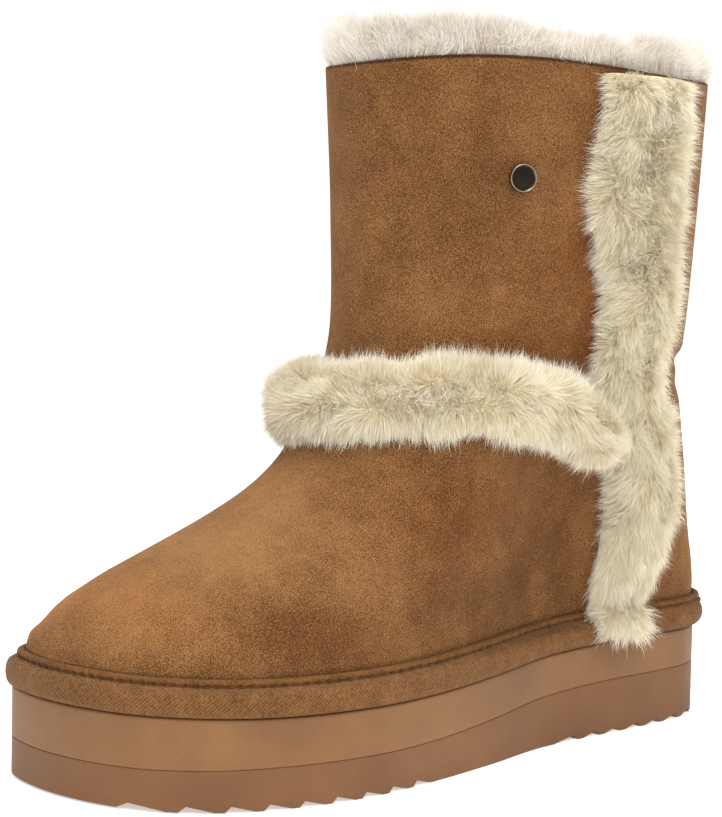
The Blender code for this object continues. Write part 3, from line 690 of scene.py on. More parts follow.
@dataclass(frozen=True)
class StudioPaper(Finish):
    """Matt white background paper, lit from behind so that no horizon shows."""

    name: str = "white_studio_paper"
    glow: float = 0.50
    roughness: float = 0.95
    dark: str = "#F4F3F1"
    light: str = "#F7F6F4"
    tooth_mm: float = 3.0
    gloss: float = 0.0

    def paint(self, tree: Tree) -> dict[str, object]:
        """Gives the paper its faint tooth and its glow."""
        tooth = grain(tree, self.tooth_mm, 2.0)
        glow = {"Emission Color": (1.0, 1.0, 1.0, 1.0), "Emission Strength": self.glow}
        return {"Base Color": ramp(tree, tooth, {0.0: self.dark, 1.0: self.light})} | glow


def wrapped(columns: int, rows: int, place: Place, layer: str = "cut") -> Sheet:
    """A flat grid laid over a form, with its own flat places kept as a UV map.

    Args:
        columns: faces across.
        rows: faces along.
        place: gives the points for arrays of shares across and along, 0 to 1.
        layer: name of the UV map.

    Returns:
        The bmesh, with what meets itself welded.
    """
    sheet = bmesh.new()
    bmesh.ops.create_grid(sheet, x_segments=columns, y_segments=rows, size=0.5)
    flat = np.array([vert.co[:2] for vert in sheet.verts]) + 0.5
    chart = sheet.loops.layers.uv.new(layer)
    for face in sheet.faces:
        for loop in face.loops:
            loop[chart].uv = flat[loop.vert.index]
    for vert, point in zip(sheet.verts, place(flat[:, 0], flat[:, 1]).tolist()):
        vert.co = point
    bmesh.ops.remove_doubles(sheet, verts=sheet.verts, dist=1e-6)
    return sheet


def close_ends(sheet: Sheet) -> None:
    """Fills the open ends of a sheet."""
    edges = [edge for edge in sheet.edges if edge.is_boundary]
    bmesh.ops.holes_fill(sheet, edges=edges, sides=0)


class Builder:
    """What every sub-assembly shares: the last, and how a mesh becomes a piece of the boot."""

    def __init__(self, last: Last) -> None:
        """Keeps the last."""
        self.last = last

    def piece(
        self, name: str, sheet: Sheet, look: bpy.types.Material, slot: str, *nodes: str
    ) -> bpy.types.Object:
        """Turns a bmesh in the last's frame into a finished piece that rides on the boot.

        Args:
            name: plain name of the piece.
            sheet: its mesh, which is used up.
            look: its material.
            slot: a material slot name; not used.
            *nodes: the solids that it stands for.

        Returns:
            The object.
        """
        bmesh.ops.recalc_face_normals(sheet, faces=sheet.faces)
        mesh = bpy.data.meshes.new(name)
        sheet.to_mesh(mesh)
        sheet.free()
        mesh.shade_smooth()
        return self.seat(name, mesh, look, slot, *nodes)

    def seat(
        self, name: str, mesh: bpy.types.Mesh, look: bpy.types.Material, slot: str, *nodes: str
    ) -> bpy.types.Object:
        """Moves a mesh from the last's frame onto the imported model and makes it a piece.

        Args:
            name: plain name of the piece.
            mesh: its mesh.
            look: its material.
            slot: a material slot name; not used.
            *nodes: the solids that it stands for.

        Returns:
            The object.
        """
        mesh.transform(Matrix.Translation(self.last.shift))
        mesh.materials.append(look)
        made = bpy.data.objects.new(name, mesh)
        bpy.context.scene.collection.objects.link(made)
        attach(made, "root")
        if nodes:
            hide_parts(*nodes)
        count = sum(len(face.vertices) - 2 for face in mesh.polygons)
        LOG.info("%s: %d triangles", name, count)
        return made


@dataclass(frozen=True)
class Fold:
    """A soft trough in the suede, with a low ridge on each side, between two places on one side."""

    start: tuple[float, float]
    end: tuple[float, float]
    side: float
    width: float
    depth: float

    def depth_at(self, points: Array, sides: Array) -> Array:
        """How far the suede goes in at the points, in metres; the ridges are negative."""
        flat = points[..., 1:3]
        start, end = np.array(self.start), np.array(self.end)
        run = end - start
        share = np.clip(((flat - start) @ run) / (run @ run), 0.0, 1.0)
        away = np.linalg.norm(flat - start - share[..., None] * run, axis=-1) / self.width
        form = (1.0 - 0.9 * away**2) * np.exp(-(away**2))
        return self.depth * form * (sides * self.side > 0)


@dataclass(frozen=True)
class NapPatch:
    """A patch of lighter or darker, more or less red suede: partly the nap lying another way, partly painted
    light and shade.
    """

    place: tuple[float, float]
    reach: tuple[float, float]
    # Lightness: part the nap's own, part painted light and shade.
    tone: float
    rust: float = 0.0
    slope: float = 0.0

    def share_at(self, points: Array) -> Array:
        """How strongly the patch shows at the points, 0 to 1."""
        y = points[..., 1] - self.place[0]
        z = points[..., 2] - self.place[1] - self.slope * y
        return np.exp(-((y / self.reach[0]) ** 2) - (z / self.reach[1]) ** 2)


class Upper(Builder):
    """The suede skin: one wall with its folds, its nap patches with painted light and shade, and its cut
    edge.
    """

    columns = 260
    rows = 160
    inner_rows = 14
    soften = 0.6
    edge_round = 0.0009
    folds = (
        Fold((0.124, 0.1265), (0.098, 0.1300), 1, 0.0042, 0.0016),
        Fold((0.124, 0.1265), (0.096, 0.1190), 1, 0.0060, 0.0008),
        Fold((0.124, 0.1265), (0.100, 0.1280), -1, 0.0045, 0.0016),
        Fold((0.112, 0.1420), (0.090, 0.1500), -1, 0.0070, 0.0008),
        Fold((-0.004, 0.2120), (0.006, 0.1640), 1, 0.0085, 0.0010),
        Fold((0.030, 0.1960), (0.042, 0.1500), 1, 0.0090, 0.0006),
        Fold((0.020, 0.1800), (0.060, 0.1480), -1, 0.0100, 0.0010),
        Fold((0.032, 0.0640), (0.029, 0.0480), 1, 0.0018, -0.0004),
        Fold((-0.010, 0.0930), (0.030, 0.0840), 1, 0.0080, 0.0007),
        Fold((-0.060, 0.0660), (-0.038, 0.0700), 1, 0.0080, 0.0004),
        Fold((-0.010, 0.0930), (0.050, 0.0850), -1, 0.0080, 0.0010),
        Fold((0.040, 0.0700), (0.090, 0.0600), -1, 0.0100, 0.0008),
    )
    # Each patch is partly the nap's own tone and partly painted light and shade, such as the lighter vamp top
    # and the darker quarter.
    patches = (
        NapPatch((-0.085, 0.076), (0.045, 0.013), 0.30, 0.0, 0.55),
        NapPatch((-0.056, 0.064), (0.020, 0.016), 0.12),
        NapPatch((0.030, 0.060), (0.030, 0.026), -0.16),
        NapPatch((-0.012, 0.080), (0.024, 0.012), -0.10, 0.4),
        NapPatch((-0.030, 0.054), (0.034, 0.009), -0.16),
        NapPatch((-0.078, 0.050), (0.024, 0.007), -0.12, 0.2),
        NapPatch((-0.116, 0.058), (0.014, 0.010), 0.10, 0.35),
        NapPatch((0.000, 0.190), (0.010, 0.032), -0.10),
        NapPatch((-0.008, 0.205), (0.006, 0.022), 0.10),
        NapPatch((0.044, 0.180), (0.010, 0.045), -0.14, 0.8),
        NapPatch((0.030, 0.165), (0.018, 0.010), -0.10, 0.3, 0.4),
        NapPatch((0.020, 0.136), (0.030, 0.010), -0.12, 0.3),
        NapPatch((0.030, 0.056), (0.003, 0.012), 0.16),
        NapPatch((0.022, 0.208), (0.016, 0.010), 0.08),
        NapPatch((0.010, 0.150), (0.016, 0.014), 0.08),
    )

    def sink(self, around: Array, rise: Array) -> Array:
        """How far the folds take the skin in at the place."""
        points = self.last.skin(around, rise)
        sides = np.where(np.sin(2 * np.pi * around) >= 0, 1.0, -1.0)
        return sum(fold.depth_at(points, sides) for fold in self.folds)

    def surface(self, around: Array, rise: Array, out: Array) -> Array:
        """Point at the distance out from the folded skin."""
        last = self.last
        faded = smooth(0.0, 0.8, rise) * (1 - 0.6 * smooth(last.top - 0.6, last.top, rise))
        reach = self.soften * smooth(0.0, 1.0, rise) * (1 - smooth(last.top - 1.4, last.top - 0.7, rise))
        even = sum(last.skin(around, rise + reach * step) for step in (-1.0, -0.5, 0.0, 0.5, 1.0)) / 5
        return even + last.normal(around, rise) * (out - self.sink(around, rise) * faded)[..., None]

    def build(self) -> None:
        """Wraps one closed sheet up the outside, over the cut edge and down the inside."""
        last = self.last
        wall, edge = last.wall, self.edge_round
        climb = np.append(np.linspace(-1.0, last.top - 0.012, self.rows), last.top)
        up = [(rise, 0.0, 0.0) for rise in climb]
        cut_edge = ((-edge * 0.3, edge * 0.7), (-wall / 2, edge), (-wall + edge * 0.3, edge * 0.7))
        rim = [(last.top, out, lift) for out, lift in cut_edge]
        down = [(rise, -wall, 0.0) for rise in np.linspace(last.top, -1.0, self.inner_rows)]
        path = np.array(up + rim + down + up[:1])

        def place(across: Array, along: Array) -> Array:
            """Points of the wall's closed section at shares across and along."""
            row = np.rint(along * (len(path) - 1)).astype(int)
            rise, out, lift = path[row].T
            points = self.surface(across % 1.0, rise, out)
            foot = rise < -0.999
            points[foot, 2] = last.skin(across[foot] % 1.0, rise[foot])[:, 2]
            points[:, 2] += lift
            return points

        sheet = wrapped(self.columns, len(path) - 1, place)
        chart = sheet.loops.layers.uv["cut"]
        cut = sheet.verts.layers.float.new("cut_edge")
        low, high = len(up) - 1.5, len(up) + len(rim) + 0.5
        for vert in sheet.verts:
            row = vert.link_loops[0][chart].uv[1] * (len(path) - 1)
            vert[cut] = float(low < row < high)
        made = self.piece("suede_upper", sheet, NappedSuede().material(), "upper", "upper")
        self.paint_nap_and_light(made)

    def paint_nap_and_light(self, made: bpy.types.Object) -> None:
        """Writes the patches into the piece: their lightness, part nap and part painted light and shade, and
        their rust.
        """
        mesh = made.data
        points = np.zeros(len(mesh.vertices) * 3)
        mesh.vertices.foreach_get("co", points)
        points = points.reshape(-1, 3) - np.array(self.last.shift)
        for name in ("tone", "rust"):
            value = sum(patch.share_at(points) * getattr(patch, name) for patch in self.patches)
            if name == "tone":
                value = value + 0.5
            mesh.attributes.new(name, "FLOAT", "POINT").data.foreach_set("value", value)


class Binding(Builder):
    """The rolled tape round the welt, its thin flange and the stitches between them."""

    roll = 0.0088
    proud_toe = 0.0022
    proud_heel = 0.0036
    flange = 0.0024
    pinch = 0.0008
    columns = 800
    stitch_length = 0.0021
    stitch_gap = 0.0014
    stitch_thick = 0.00042
    pull = 0.00080
    pull_reach = 0.0012
    # Rows of the mesh for each row of the section, and the tape's width as a multiple of its roll.
    fineness = 3
    unrolled = 2.4

    def section(self, proud: Array, inset: Array) -> Array:
        """The tape's closed section as (out, up) for each station round the boot."""
        roll, height, gap = inset + proud, self.last.binding_height, self.last.gap
        flange = gap + self.flange
        rows = (
            (gap + 0 * roll, 0.0),
            (roll - proud * 0.80, 0.0),
            (roll - proud * 0.45, self.roll * 0.04),
            (roll - proud * 0.16, self.roll * 0.17),
            (roll, self.roll * 0.42),
            (roll - proud * 0.10, self.roll * 0.66),
            (roll - proud * 0.42, self.roll * 0.84),
            (flange + self.pinch, self.roll * 0.94),
            (flange - self.pinch, self.roll),
            (flange - self.pinch * 0.7, self.roll + 0.0003),
            (flange, self.roll + 0.0010),
            (flange - 0.0002, height - gap * 3),
            (flange - 0.0012, height - gap * 2),
            (gap + 0 * roll, height - gap * 2),
        )
        return np.array([[out + 0 * roll, up + 0 * roll] for out, up in rows])

    def build(self) -> None:
        """Wraps the tape, then sews it."""
        last = self.last

        def frame(around: Array) -> tuple[Array, Array, Array, Array]:
            """Foot point, outward direction, proudness and inset at each station."""
            foot = last.skin(around, -1.0 + 0 * around)
            out = last.normal(around, -1.0 + 0 * around)
            to_toe = smooth(0.2, 0.8, last.from_heel(foot[:, 1]))
            proud = self.proud_heel + (self.proud_toe - self.proud_heel) * to_toe
            return foot, unit(out * (1.0, 1.0, 0.0)), proud, last.inset(foot[:, 1])

        def place(across: Array, along: Array) -> Array:
            """Points of the tape at shares round the boot and round its section."""
            foot, out, proud, inset = frame(across % 1.0)
            section = self.section(proud, inset)
            count = len(section)
            closed = np.concatenate([section, section[:1]])
            at = along * count
            low = np.minimum(at.astype(int), count - 1)
            pick = np.arange(len(at))
            part = (at - low)[:, None]
            mixed = closed[low, :, pick] * (1 - part) + closed[low + 1, :, pick] * part
            near = np.exp(-(((mixed[:, 1] - self.roll) / self.pull_reach) ** 2))
            pulled = self.pull * np.cos(2 * np.pi * across * self.stitches) * near
            return foot + out * (mixed[:, :1] + pulled[:, None]) + np.array([0, 0, 1.0]) * mixed[:, 1:]

        ring = last.skin(np.linspace(0, 1, 721), np.full(721, -1.0))
        self.girth = float(np.linalg.norm(np.diff(ring, axis=0), axis=1).sum())
        self.stitches = round(self.girth / (self.stitch_length + self.stitch_gap))
        sheet = wrapped(self.columns, 14 * self.fineness, place, "tape")
        for _ in range(2):
            bmesh.ops.smooth_vert(
                sheet, verts=sheet.verts, factor=0.5, use_axis_x=True, use_axis_y=True, use_axis_z=True
            )
        felt = sheet.verts.layers.float.new("felt")
        for vert in sheet.verts:
            over = vert.co.z - float(last.sole_top(vert.co.y)) - self.roll
            vert[felt] = float(smooth(-0.0004, 0.0008, over))
        self.measure(sheet)
        self.piece("twill_binding", sheet, TwillTape().material(), "binding", "binding")
        self.sew(frame)

    def measure(self, sheet: Sheet) -> None:
        """Stretches the tape's UV map to millimetres along and across it."""
        chart = sheet.loops.layers.uv["tape"]
        girth, width = self.girth / MM, self.unrolled * self.roll / MM
        for face in sheet.faces:
            for loop in face.loops:
                place = loop[chart].uv
                loop[chart].uv = (place[0] * girth, place[1] * width)

    def sew(self, frame: Callable) -> None:
        """Lays one small thread for each stitch in the groove between roll and flange."""
        turn = (np.arange(self.stitches) + 0.5) / self.stitches
        ring = self.last.skin(np.linspace(0, 1, 721), np.full(721, -1.0))
        along = np.concatenate([[0.0], np.cumsum(np.linalg.norm(np.diff(ring, axis=0), axis=1))])
        around = np.interp(turn * along[-1], along, np.linspace(0, 1, 721))
        foot, out, _, _ = frame(around)
        run = unit(np.cross(np.array([0, 0, 1.0]), out))
        sheet = bmesh.new()
        for point, way, side in zip(foot, run, out):
            turned = Matrix((way, side, (0, 0, 1))).transposed().to_4x4()
            middle = Vector(point) + Vector(side) * (self.last.gap + self.flange - self.pinch * 0.45)
            middle.z += self.roll + 0.0001
            spot = Matrix.Translation(middle) @ turned
            size = Matrix.Diagonal((self.stitch_length / 2, self.stitch_thick / 2, self.stitch_thick / 2, 1))
            bmesh.ops.create_icosphere(sheet, subdivisions=2, radius=1.0, matrix=spot @ size)
        self.piece("binding_stitches", sheet, Thread().material(), "binding")


class SolePart(Enum):
    """The two layers of the platform."""

    OUTSOLE = "outsole"
    MIDSOLE = "midsole"


class Platform(Builder):
    """The moulded platform: the toothed outsole and the midsole over it."""

    tooth_pitch = 0.0111
    tooth_depth = 0.0018
    tooth_land = 0.0024
    tooth_step = 0.0018
    toe_teeth = 9
    toe_land = 0.0068
    heel_teeth = 7
    heel_tread = 0.0965
    toe_spring = 0.0006
    toe_spring_from = -0.0648
    edge = 0.0006
    looks = {
        SolePart.OUTSOLE: ("moulded_eva_outsole", 0.60, "#623E22", "#795330"),
        SolePart.MIDSOLE: ("moulded_eva_midsole", 0.56, "#6A4728", "#865F37"),
    }
    groove = 0.0006
    shallow = 0.35
    # The points of a rounded edge: how far in from the wall and away from its end, as shares.
    bow = ((0.62, 0.08), (0.30, 0.30), (0.08, 0.62))

    def tread(self) -> tuple[Array, Array]:
        """Places and heights of the outsole's bottom in side view, from toe to heel."""
        half = self.last.length / 2
        notch = -half + self.toe_land + self.tooth_step / 2
        line = [(-half - 0.004, 0.0), (notch - self.tooth_step, 0.0)]
        for _ in range(self.toe_teeth):
            tip = notch + self.tooth_pitch - self.tooth_step
            line += [(notch, self.tooth_depth), (tip - self.tooth_land, 0.0), (tip, 0.0)]
            notch += self.tooth_pitch
        line += [(notch, 0.0), (half - self.heel_tread, 0.0)]
        for tooth in range(1, self.heel_teeth + 1):
            notch = half - self.heel_tread + tooth * self.tooth_pitch
            land = notch + self.tooth_step
            line += [(notch, self.tooth_depth), (land, 0.0), (land + self.tooth_land, 0.0)]
        line.append((half + 0.004, 0.0))
        y, z = np.array(line).T
        share = np.maximum(0.0, self.toe_spring_from - y) / (half + self.toe_spring_from)
        return y, z + self.toe_spring * share**2

    def stations(self, tips: tuple[float, float]) -> Array:
        """Places along the sole: close together at the tips, and at every corner of the tread."""
        half = self.last.length / 2
        turn = np.linspace(0.0, math.pi, 150)
        spread = (tips[0] + tips[1]) / 2 - (tips[1] - tips[0]) / 2 * np.cos(turn)
        corners = self.tread()[0]
        corners = corners[np.abs(corners) < half * 0.985]
        close = np.sort(np.concatenate([spread, corners]))
        kept = [close[0]]
        for y in close[1:]:
            if y - kept[-1] > 1e-5:
                kept.append(y)
        return np.array(kept)

    def build(self) -> None:
        """Makes both layers."""
        for part in SolePart:
            self.layer(part)

    def layer(self, part: SolePart) -> None:
        """One layer: a sheet wrapped round its wall, from the middle of its underside to its top's middle."""
        last = self.last
        fine = last.outline(4000)
        rows = self.stations((fine[:, 1].min(), fine[:, 1].max()))
        toe = int(np.argmin(fine[:, 1]))
        fine = np.roll(fine, -toe, axis=0)
        heel = int(np.argmax(fine[:, 1]))
        normal = unit(np.roll(fine, -1, axis=0) - np.roll(fine, 1, axis=0))
        normal = np.column_stack([normal[:, 1], -normal[:, 0]])
        outer = (fine[: heel + 1], normal[: heel + 1])
        inner = tuple(np.vstack([ring[:1], ring[heel:][::-1]]) for ring in (fine, normal))
        tread_y, tread_z = self.tread()
        outsole = part is SolePart.OUTSOLE
        high = last.parting if outsole else last.sole_top
        edge = self.edge
        low_edge, high_edge = (edge, self.groove) if outsole else (self.groove, edge * 1.6)
        lift = -last.gap * 0.3 if outsole else 0.0
        low_in, high_in = (1.0, self.shallow) if outsole else (self.shallow, 1.0)
        low_deep, high_deep = low_edge * low_in, high_edge * high_in
        # Each row: how far in from the wall, and how far up from the underside or down from the top.
        section = (
            (None, 0.0, 0.0),
            (low_edge * 2.6, 0.0, 0.0),
            (low_deep, 0.0, 0.0),
            *((low_deep * inward, low_edge * away, 0.0) for inward, away in self.bow),
            (0.0, low_edge, 0.0),
            (0.0, low_edge * 1.5, 0.0),
            (0.0, 0.0, high_edge * 1.5),
            (0.0, 0.0, high_edge),
            *((high_deep * inward, 0.0, high_edge * away) for inward, away in self.bow[::-1]),
            (high_deep, 0.0, 0.0),
            (high_edge * 1.3, 0.0, lift),
            (high_edge * 2.6, 0.0, lift),
            (None, 0.0, lift),
        )
        bottom_rows = 8
        deepest = max(row[0] for row in section if row[0] is not None)
        columns = 2 * (len(section) - 1)

        def low(y: Array) -> Array:
            """Height of the layer's underside at the places y."""
            return np.interp(y, tread_y, tread_z) if outsole else last.parting(y) + last.gap * 0.4

        def edge_at(y: Array, side: int) -> tuple[Array, Array]:
            """Outline point and outward normal at the places y on one side."""
            line, out = (outer, inner)[side]
            key = line[:, 1]
            point = np.column_stack([np.interp(y, key, line[:, 0]), y])
            way = np.column_stack([np.interp(y, key, out[:, 0]), np.interp(y, key, out[:, 1])])
            return point, unit(way)

        def place(across: Array, along: Array) -> Array:
            """Points of the closed layer: out along one side's section and back along the other's."""
            row = np.rint(along * (len(rows) - 1)).astype(int)
            y = rows[row]
            at = np.rint(across * columns).astype(int)
            step = np.where(at <= len(section) - 1, at, columns - at)
            points = np.zeros((len(y), 3))
            for side in (0, 1):
                mine = (at <= len(section) - 1) == (side == 0)
                point, out = edge_at(y[mine], side)
                other, back = edge_at(y[mine], 1 - side)
                centre = (point - out * deepest + other - back * deepest) / 2
                bottom, top = low(y[mine]), high(y[mine])
                for number, (inward, up, down) in enumerate(section):
                    here = step[mine] == number
                    flat = centre[here] if inward is None else point[here] - out[here] * inward
                    if number < bottom_rows:
                        z = bottom[here] + up
                    else:
                        z = top[here] - down
                    spot = np.flatnonzero(mine)[here]
                    points[spot, :2] = flat
                    points[spot, 2] = z
            return points

        sheet = wrapped(columns, len(rows) - 1, place)
        name = f"foam_{part.value}"
        look = MouldedFoam(*self.looks[part]).material()
        self.piece(name, sheet, look, part.value, part.value)


class Surface:
    """A grid of points on a pile's ground, from which strands can grow anywhere."""

    def __init__(self, place: Place, columns: int, rows: int) -> None:
        """Reads the ground at columns by rows places and works out its normals and areas."""
        u, v = np.meshgrid(np.linspace(0, 1, columns + 1), np.linspace(0, 1, rows + 1), indexing="ij")
        self.points = place(u.ravel(), v.ravel()).reshape(columns + 1, rows + 1, 3)
        du, dv = np.gradient(self.points, axis=0), np.gradient(self.points, axis=1)
        self.normals = unit(np.cross(du, dv))
        self.across = unit(dv)
        cell = np.linalg.norm(np.cross(du, dv), axis=-1)[:-1, :-1]
        self.share = (cell / cell.sum()).ravel()
        self.size = (columns, rows)

    def flip(self) -> None:
        """Turns the normals to the other side."""
        self.normals = -self.normals

    def scatter(self, count: int, chance: np.random.Generator) -> tuple[Array, Array]:
        """Random places, evenly thick over the ground."""
        cell = chance.choice(len(self.share), count, p=self.share)
        u = (cell // self.size[1] + chance.random(count)) / self.size[0]
        v = (cell % self.size[1] + chance.random(count)) / self.size[1]
        return u, v

    def read(self, grid: Array, u: Array, v: Array) -> Array:
        """The grid's values between its points."""
        x, y = u * self.size[0], v * self.size[1]
        i, j = np.minimum(x.astype(int), self.size[0] - 1), np.minimum(y.astype(int), self.size[1] - 1)
        fx, fy = (x - i)[:, None], (y - j)[:, None]
        low = grid[i, j] * (1 - fx) + grid[i + 1, j] * fx
        high = grid[i, j + 1] * (1 - fx) + grid[i + 1, j + 1] * fx
        return low * (1 - fy) + high * fy


@dataclass(frozen=True)
class Pile:
    """How the wool of one piece grows: many fine straight fibres, and fewer long ones that bend."""

    fine: int
    long: int
    length: float
    longer: float = 1.45
    width: float = 0.00015
    lean: tuple[float, float, float] = (0.0, 0.0, 0.0)
    comb: float = 0.5
    tuft: float = 0.30
    ragged: float = 0.12
    stray: float = 0.2
    calm: float = 0.0
    droop: float = 0.0
    tufts: tuple[int, int] = (60, 12)
    waves: tuple[int, int] = (16, 4)
    seed: int = 1

    # Triangles of a straight fibre and of a bent one, and each point's share of the way to the tip.
    STRAIGHT = (((0, 1, 2),), (0.0, 0.0, 1.0))
    BENT = (((0, 1, 3), (0, 3, 2), (2, 3, 4)), (0.0, 0.0, 0.55, 0.55, 1.0))

    def lay(
        self, ground: Surface, count: int, length: float, comb: Callable[[Array], Array] | None, seed: int
    ) -> tuple[Array, Array, Array, Array]:
        """Places fibres on the ground and lays them in tufts and waves.

        Args:
            ground: what they grow on.
            count: how many.
            length: their usual length.
            comb: gives, for places across the ground, how far the fibres lean across it.
            seed: which random fibres.

        Returns:
            Each fibre's root, its way with its length, its pull to its tuft, and half its width sideways.
        """
        chance = np.random.default_rng(seed)
        u, v = ground.scatter(count, chance)
        root = ground.read(ground.points, u, v)
        normal = unit(ground.read(ground.normals, u, v))
        across = unit(ground.read(ground.across, u, v))
        waves = ripple(u, v, self.waves, self.seed + 70)
        warp = ripple(u, v, (self.tufts[0] // 3, max(self.tufts[1] // 2, 1)), self.seed + 90)
        tuft_u = (np.floor(u * self.tufts[0] + 1.1 * warp[:, 0]) + 0.5 - 1.1 * warp[:, 0]) / self.tufts[0]
        tuft_v = (np.floor(v * self.tufts[1] + 0.9 * warp[:, 1]) + 0.5 - 0.9 * warp[:, 1]) / self.tufts[1]
        tuft_u, tuft_v = np.clip(tuft_u, 0.0, 1.0), np.clip(tuft_v, 0.0, 1.0)
        locks = ripple(tuft_u, tuft_v, self.tufts, self.seed + 50)
        gather = (ground.read(ground.points, tuft_u, tuft_v) - root) * self.tuft
        own = chance.normal(0.0, 0.17, count)
        size = length * (1.0 + own + 0.15 * waves[:, 0] + self.ragged * locks[:, 1])
        size = np.clip(size, 0.4 * length, 1.5 * length)[:, None]
        way = normal + np.array(self.lean) + 0.3 * locks + self.comb * waves
        way[:, 2] -= self.droop * (smooth(0.66, 1.0, u) + 0.3 * smooth(0.10, 0.02, u))
        if comb is not None:
            way = way + across * comb(v)[:, None]
        stray = self.stray * (1.0 - self.calm * (1.0 - smooth(0.1, 0.5, v)))
        way = unit(unit(way) + chance.normal(size=(count, 3)) * stray[:, None])
        away = np.sum(way * normal, axis=1, keepdims=True)
        way = unit(way + normal * np.maximum(0.0, 0.2 - away))
        side = unit(np.cross(way, chance.normal(size=(count, 3)))) * self.width / 2
        return root, way * size, gather, side

    def grow(
        self, ground: Surface, name: str, comb: Callable[[Array], Array] | None = None
    ) -> bpy.types.Mesh:
        """Grows all fibres as one mesh of thin tapering blades.

        Args:
            ground: what they grow on.
            name: name of the mesh.
            comb: gives, for places across the ground, how far the fibres lean across it.

        Returns:
            The mesh, with each fibre's random number and its share of the way in the UV map "strand".
        """
        root, way, gather, side = self.lay(ground, self.fine, self.length, comb, self.seed)
        straight = np.stack([root - side, root + side, root + way + gather], axis=1)
        root, way, gather, side = self.lay(ground, self.long, self.length * self.longer, comb, self.seed + 1)
        curl = np.cross(way, side / np.linalg.norm(side, axis=1, keepdims=True)) * 0.14
        middle = root + way * 0.55 + gather * 0.3 + curl
        bent = np.stack(
            [root - side, root + side, middle - side * 0.7, middle + side * 0.7, root + way + gather], axis=1
        )
        return fibre_mesh(name, ((straight, self.STRAIGHT), (bent, self.BENT)), self.seed)


def fibre_mesh(name: str, groups: tuple, seed: int) -> bpy.types.Mesh:
    """Joins fibres of a few points each into one mesh.

    Args:
        name: name of the mesh.
        groups: for each kind of fibre, all fibres' points, and its triangles with its points' shares.
        seed: which random number each fibre gets for its shade.

    Returns:
        The mesh.
    """
    chance = np.random.default_rng(seed)
    points, corners, charts, start = [], [], [], 0
    for places, (faces, along) in groups:
        count, size = places.shape[:2]
        flat = np.ravel(faces)
        corners.append((np.arange(count)[:, None] * size + flat).ravel() + start)
        own = np.repeat(chance.random(count), len(flat))
        charts.append(np.column_stack([own, np.tile(np.array(along)[flat], count)]))
        points.append(places.reshape(-1, 3))
        start += count * size
    corners = np.concatenate(corners)
    mesh = bpy.data.meshes.new(name)
    mesh.vertices.add(start)
    mesh.vertices.foreach_set("co", np.concatenate(points).ravel())
    mesh.loops.add(len(corners))
    mesh.loops.foreach_set("vertex_index", corners)
    mesh.polygons.add(len(corners) // 3)
    mesh.polygons.foreach_set("loop_start", np.arange(0, len(corners), 3))
    mesh.polygons.foreach_set("loop_total", np.full(len(corners) // 3, 3))
    mesh.uv_layers.new(name="strand").data.foreach_set("uv", np.concatenate(charts).ravel())
    mesh.update(calc_edges=True)
    return mesh


class FleecePiece(Builder):
    """What the three pieces of fleece share: a lumpy ground and the strands on it."""

    name: str
    lump = 0.0012
    seat_out = 0.0009

    def ground(self, sheet: Sheet) -> bpy.types.Object:
        """The felted ground under the strands, which stands for the solid."""
        return self.piece(f"{self.name}_ground", sheet, FleeceCloth().material(), self.name, self.name)

    def strands(self, part: str, mesh: bpy.types.Mesh, look: bpy.types.Material) -> None:
        """Seats one mesh of strands."""
        self.seat(f"{self.name}_{part}", mesh, look, self.name)


def crown(share: Array, fullness: float) -> Array:
    """Height of a fleece roll across its width: 0 at its edges and 1 over its middle."""
    return np.sqrt(np.maximum(0.0, 1.0 - np.abs(2.0 * share - 1.0) ** fullness))


class FleecePad(FleecePiece):
    """A pad of fleece that lies along the skin: its height swells from its edges to its middle."""

    sunk: float
    lumps: tuple[tuple[int, int], int]
    pile: Pile
    look = Wool()
    mesh_size = (110, 40)
    reading = (150, 30)
    top_share = 0.75

    def spots(self, along: Array, across: Array) -> tuple[Array, Array, Array, Array]:
        """Around, rise, seat and height of the pad at shares along and across it."""
        raise NotImplementedError

    def comb(self, across: Array) -> Array:
        """How far the strands lean across the pad."""
        raise NotImplementedError

    def over(self, along: Array, across: Array) -> Array:
        """Points of the ground's top."""
        around, rise, seat, proud = self.spots(along, across)
        lump = self.lump * ripple(along, across, *self.lumps)[:, 0] * crown(across, 4.0)
        return self.last.off_skin(around, rise, seat + proud * self.sunk + lump)

    def closed(self, along: Array, turn: Array) -> Array:
        """Points of the closed ground: over its top and back under it."""
        over_top = turn <= self.top_share
        across = np.where(over_top, turn / self.top_share, (1.0 - turn) / (1.0 - self.top_share))
        around, rise, seat, _ = self.spots(along, across)
        points = self.last.off_skin(around, rise, seat)
        points[over_top] = self.over(along[over_top], across[over_top])
        return points

    def build(self) -> None:
        """Makes the ground and grows the strands."""
        sheet = wrapped(*self.mesh_size, self.closed)
        close_ends(sheet)
        self.ground(sheet)
        name = self.name.removeprefix("fur_") + "_wool"
        mesh = self.pile.grow(Surface(self.over, *self.reading), name, self.comb)
        self.strands("wool", mesh, self.look.material())


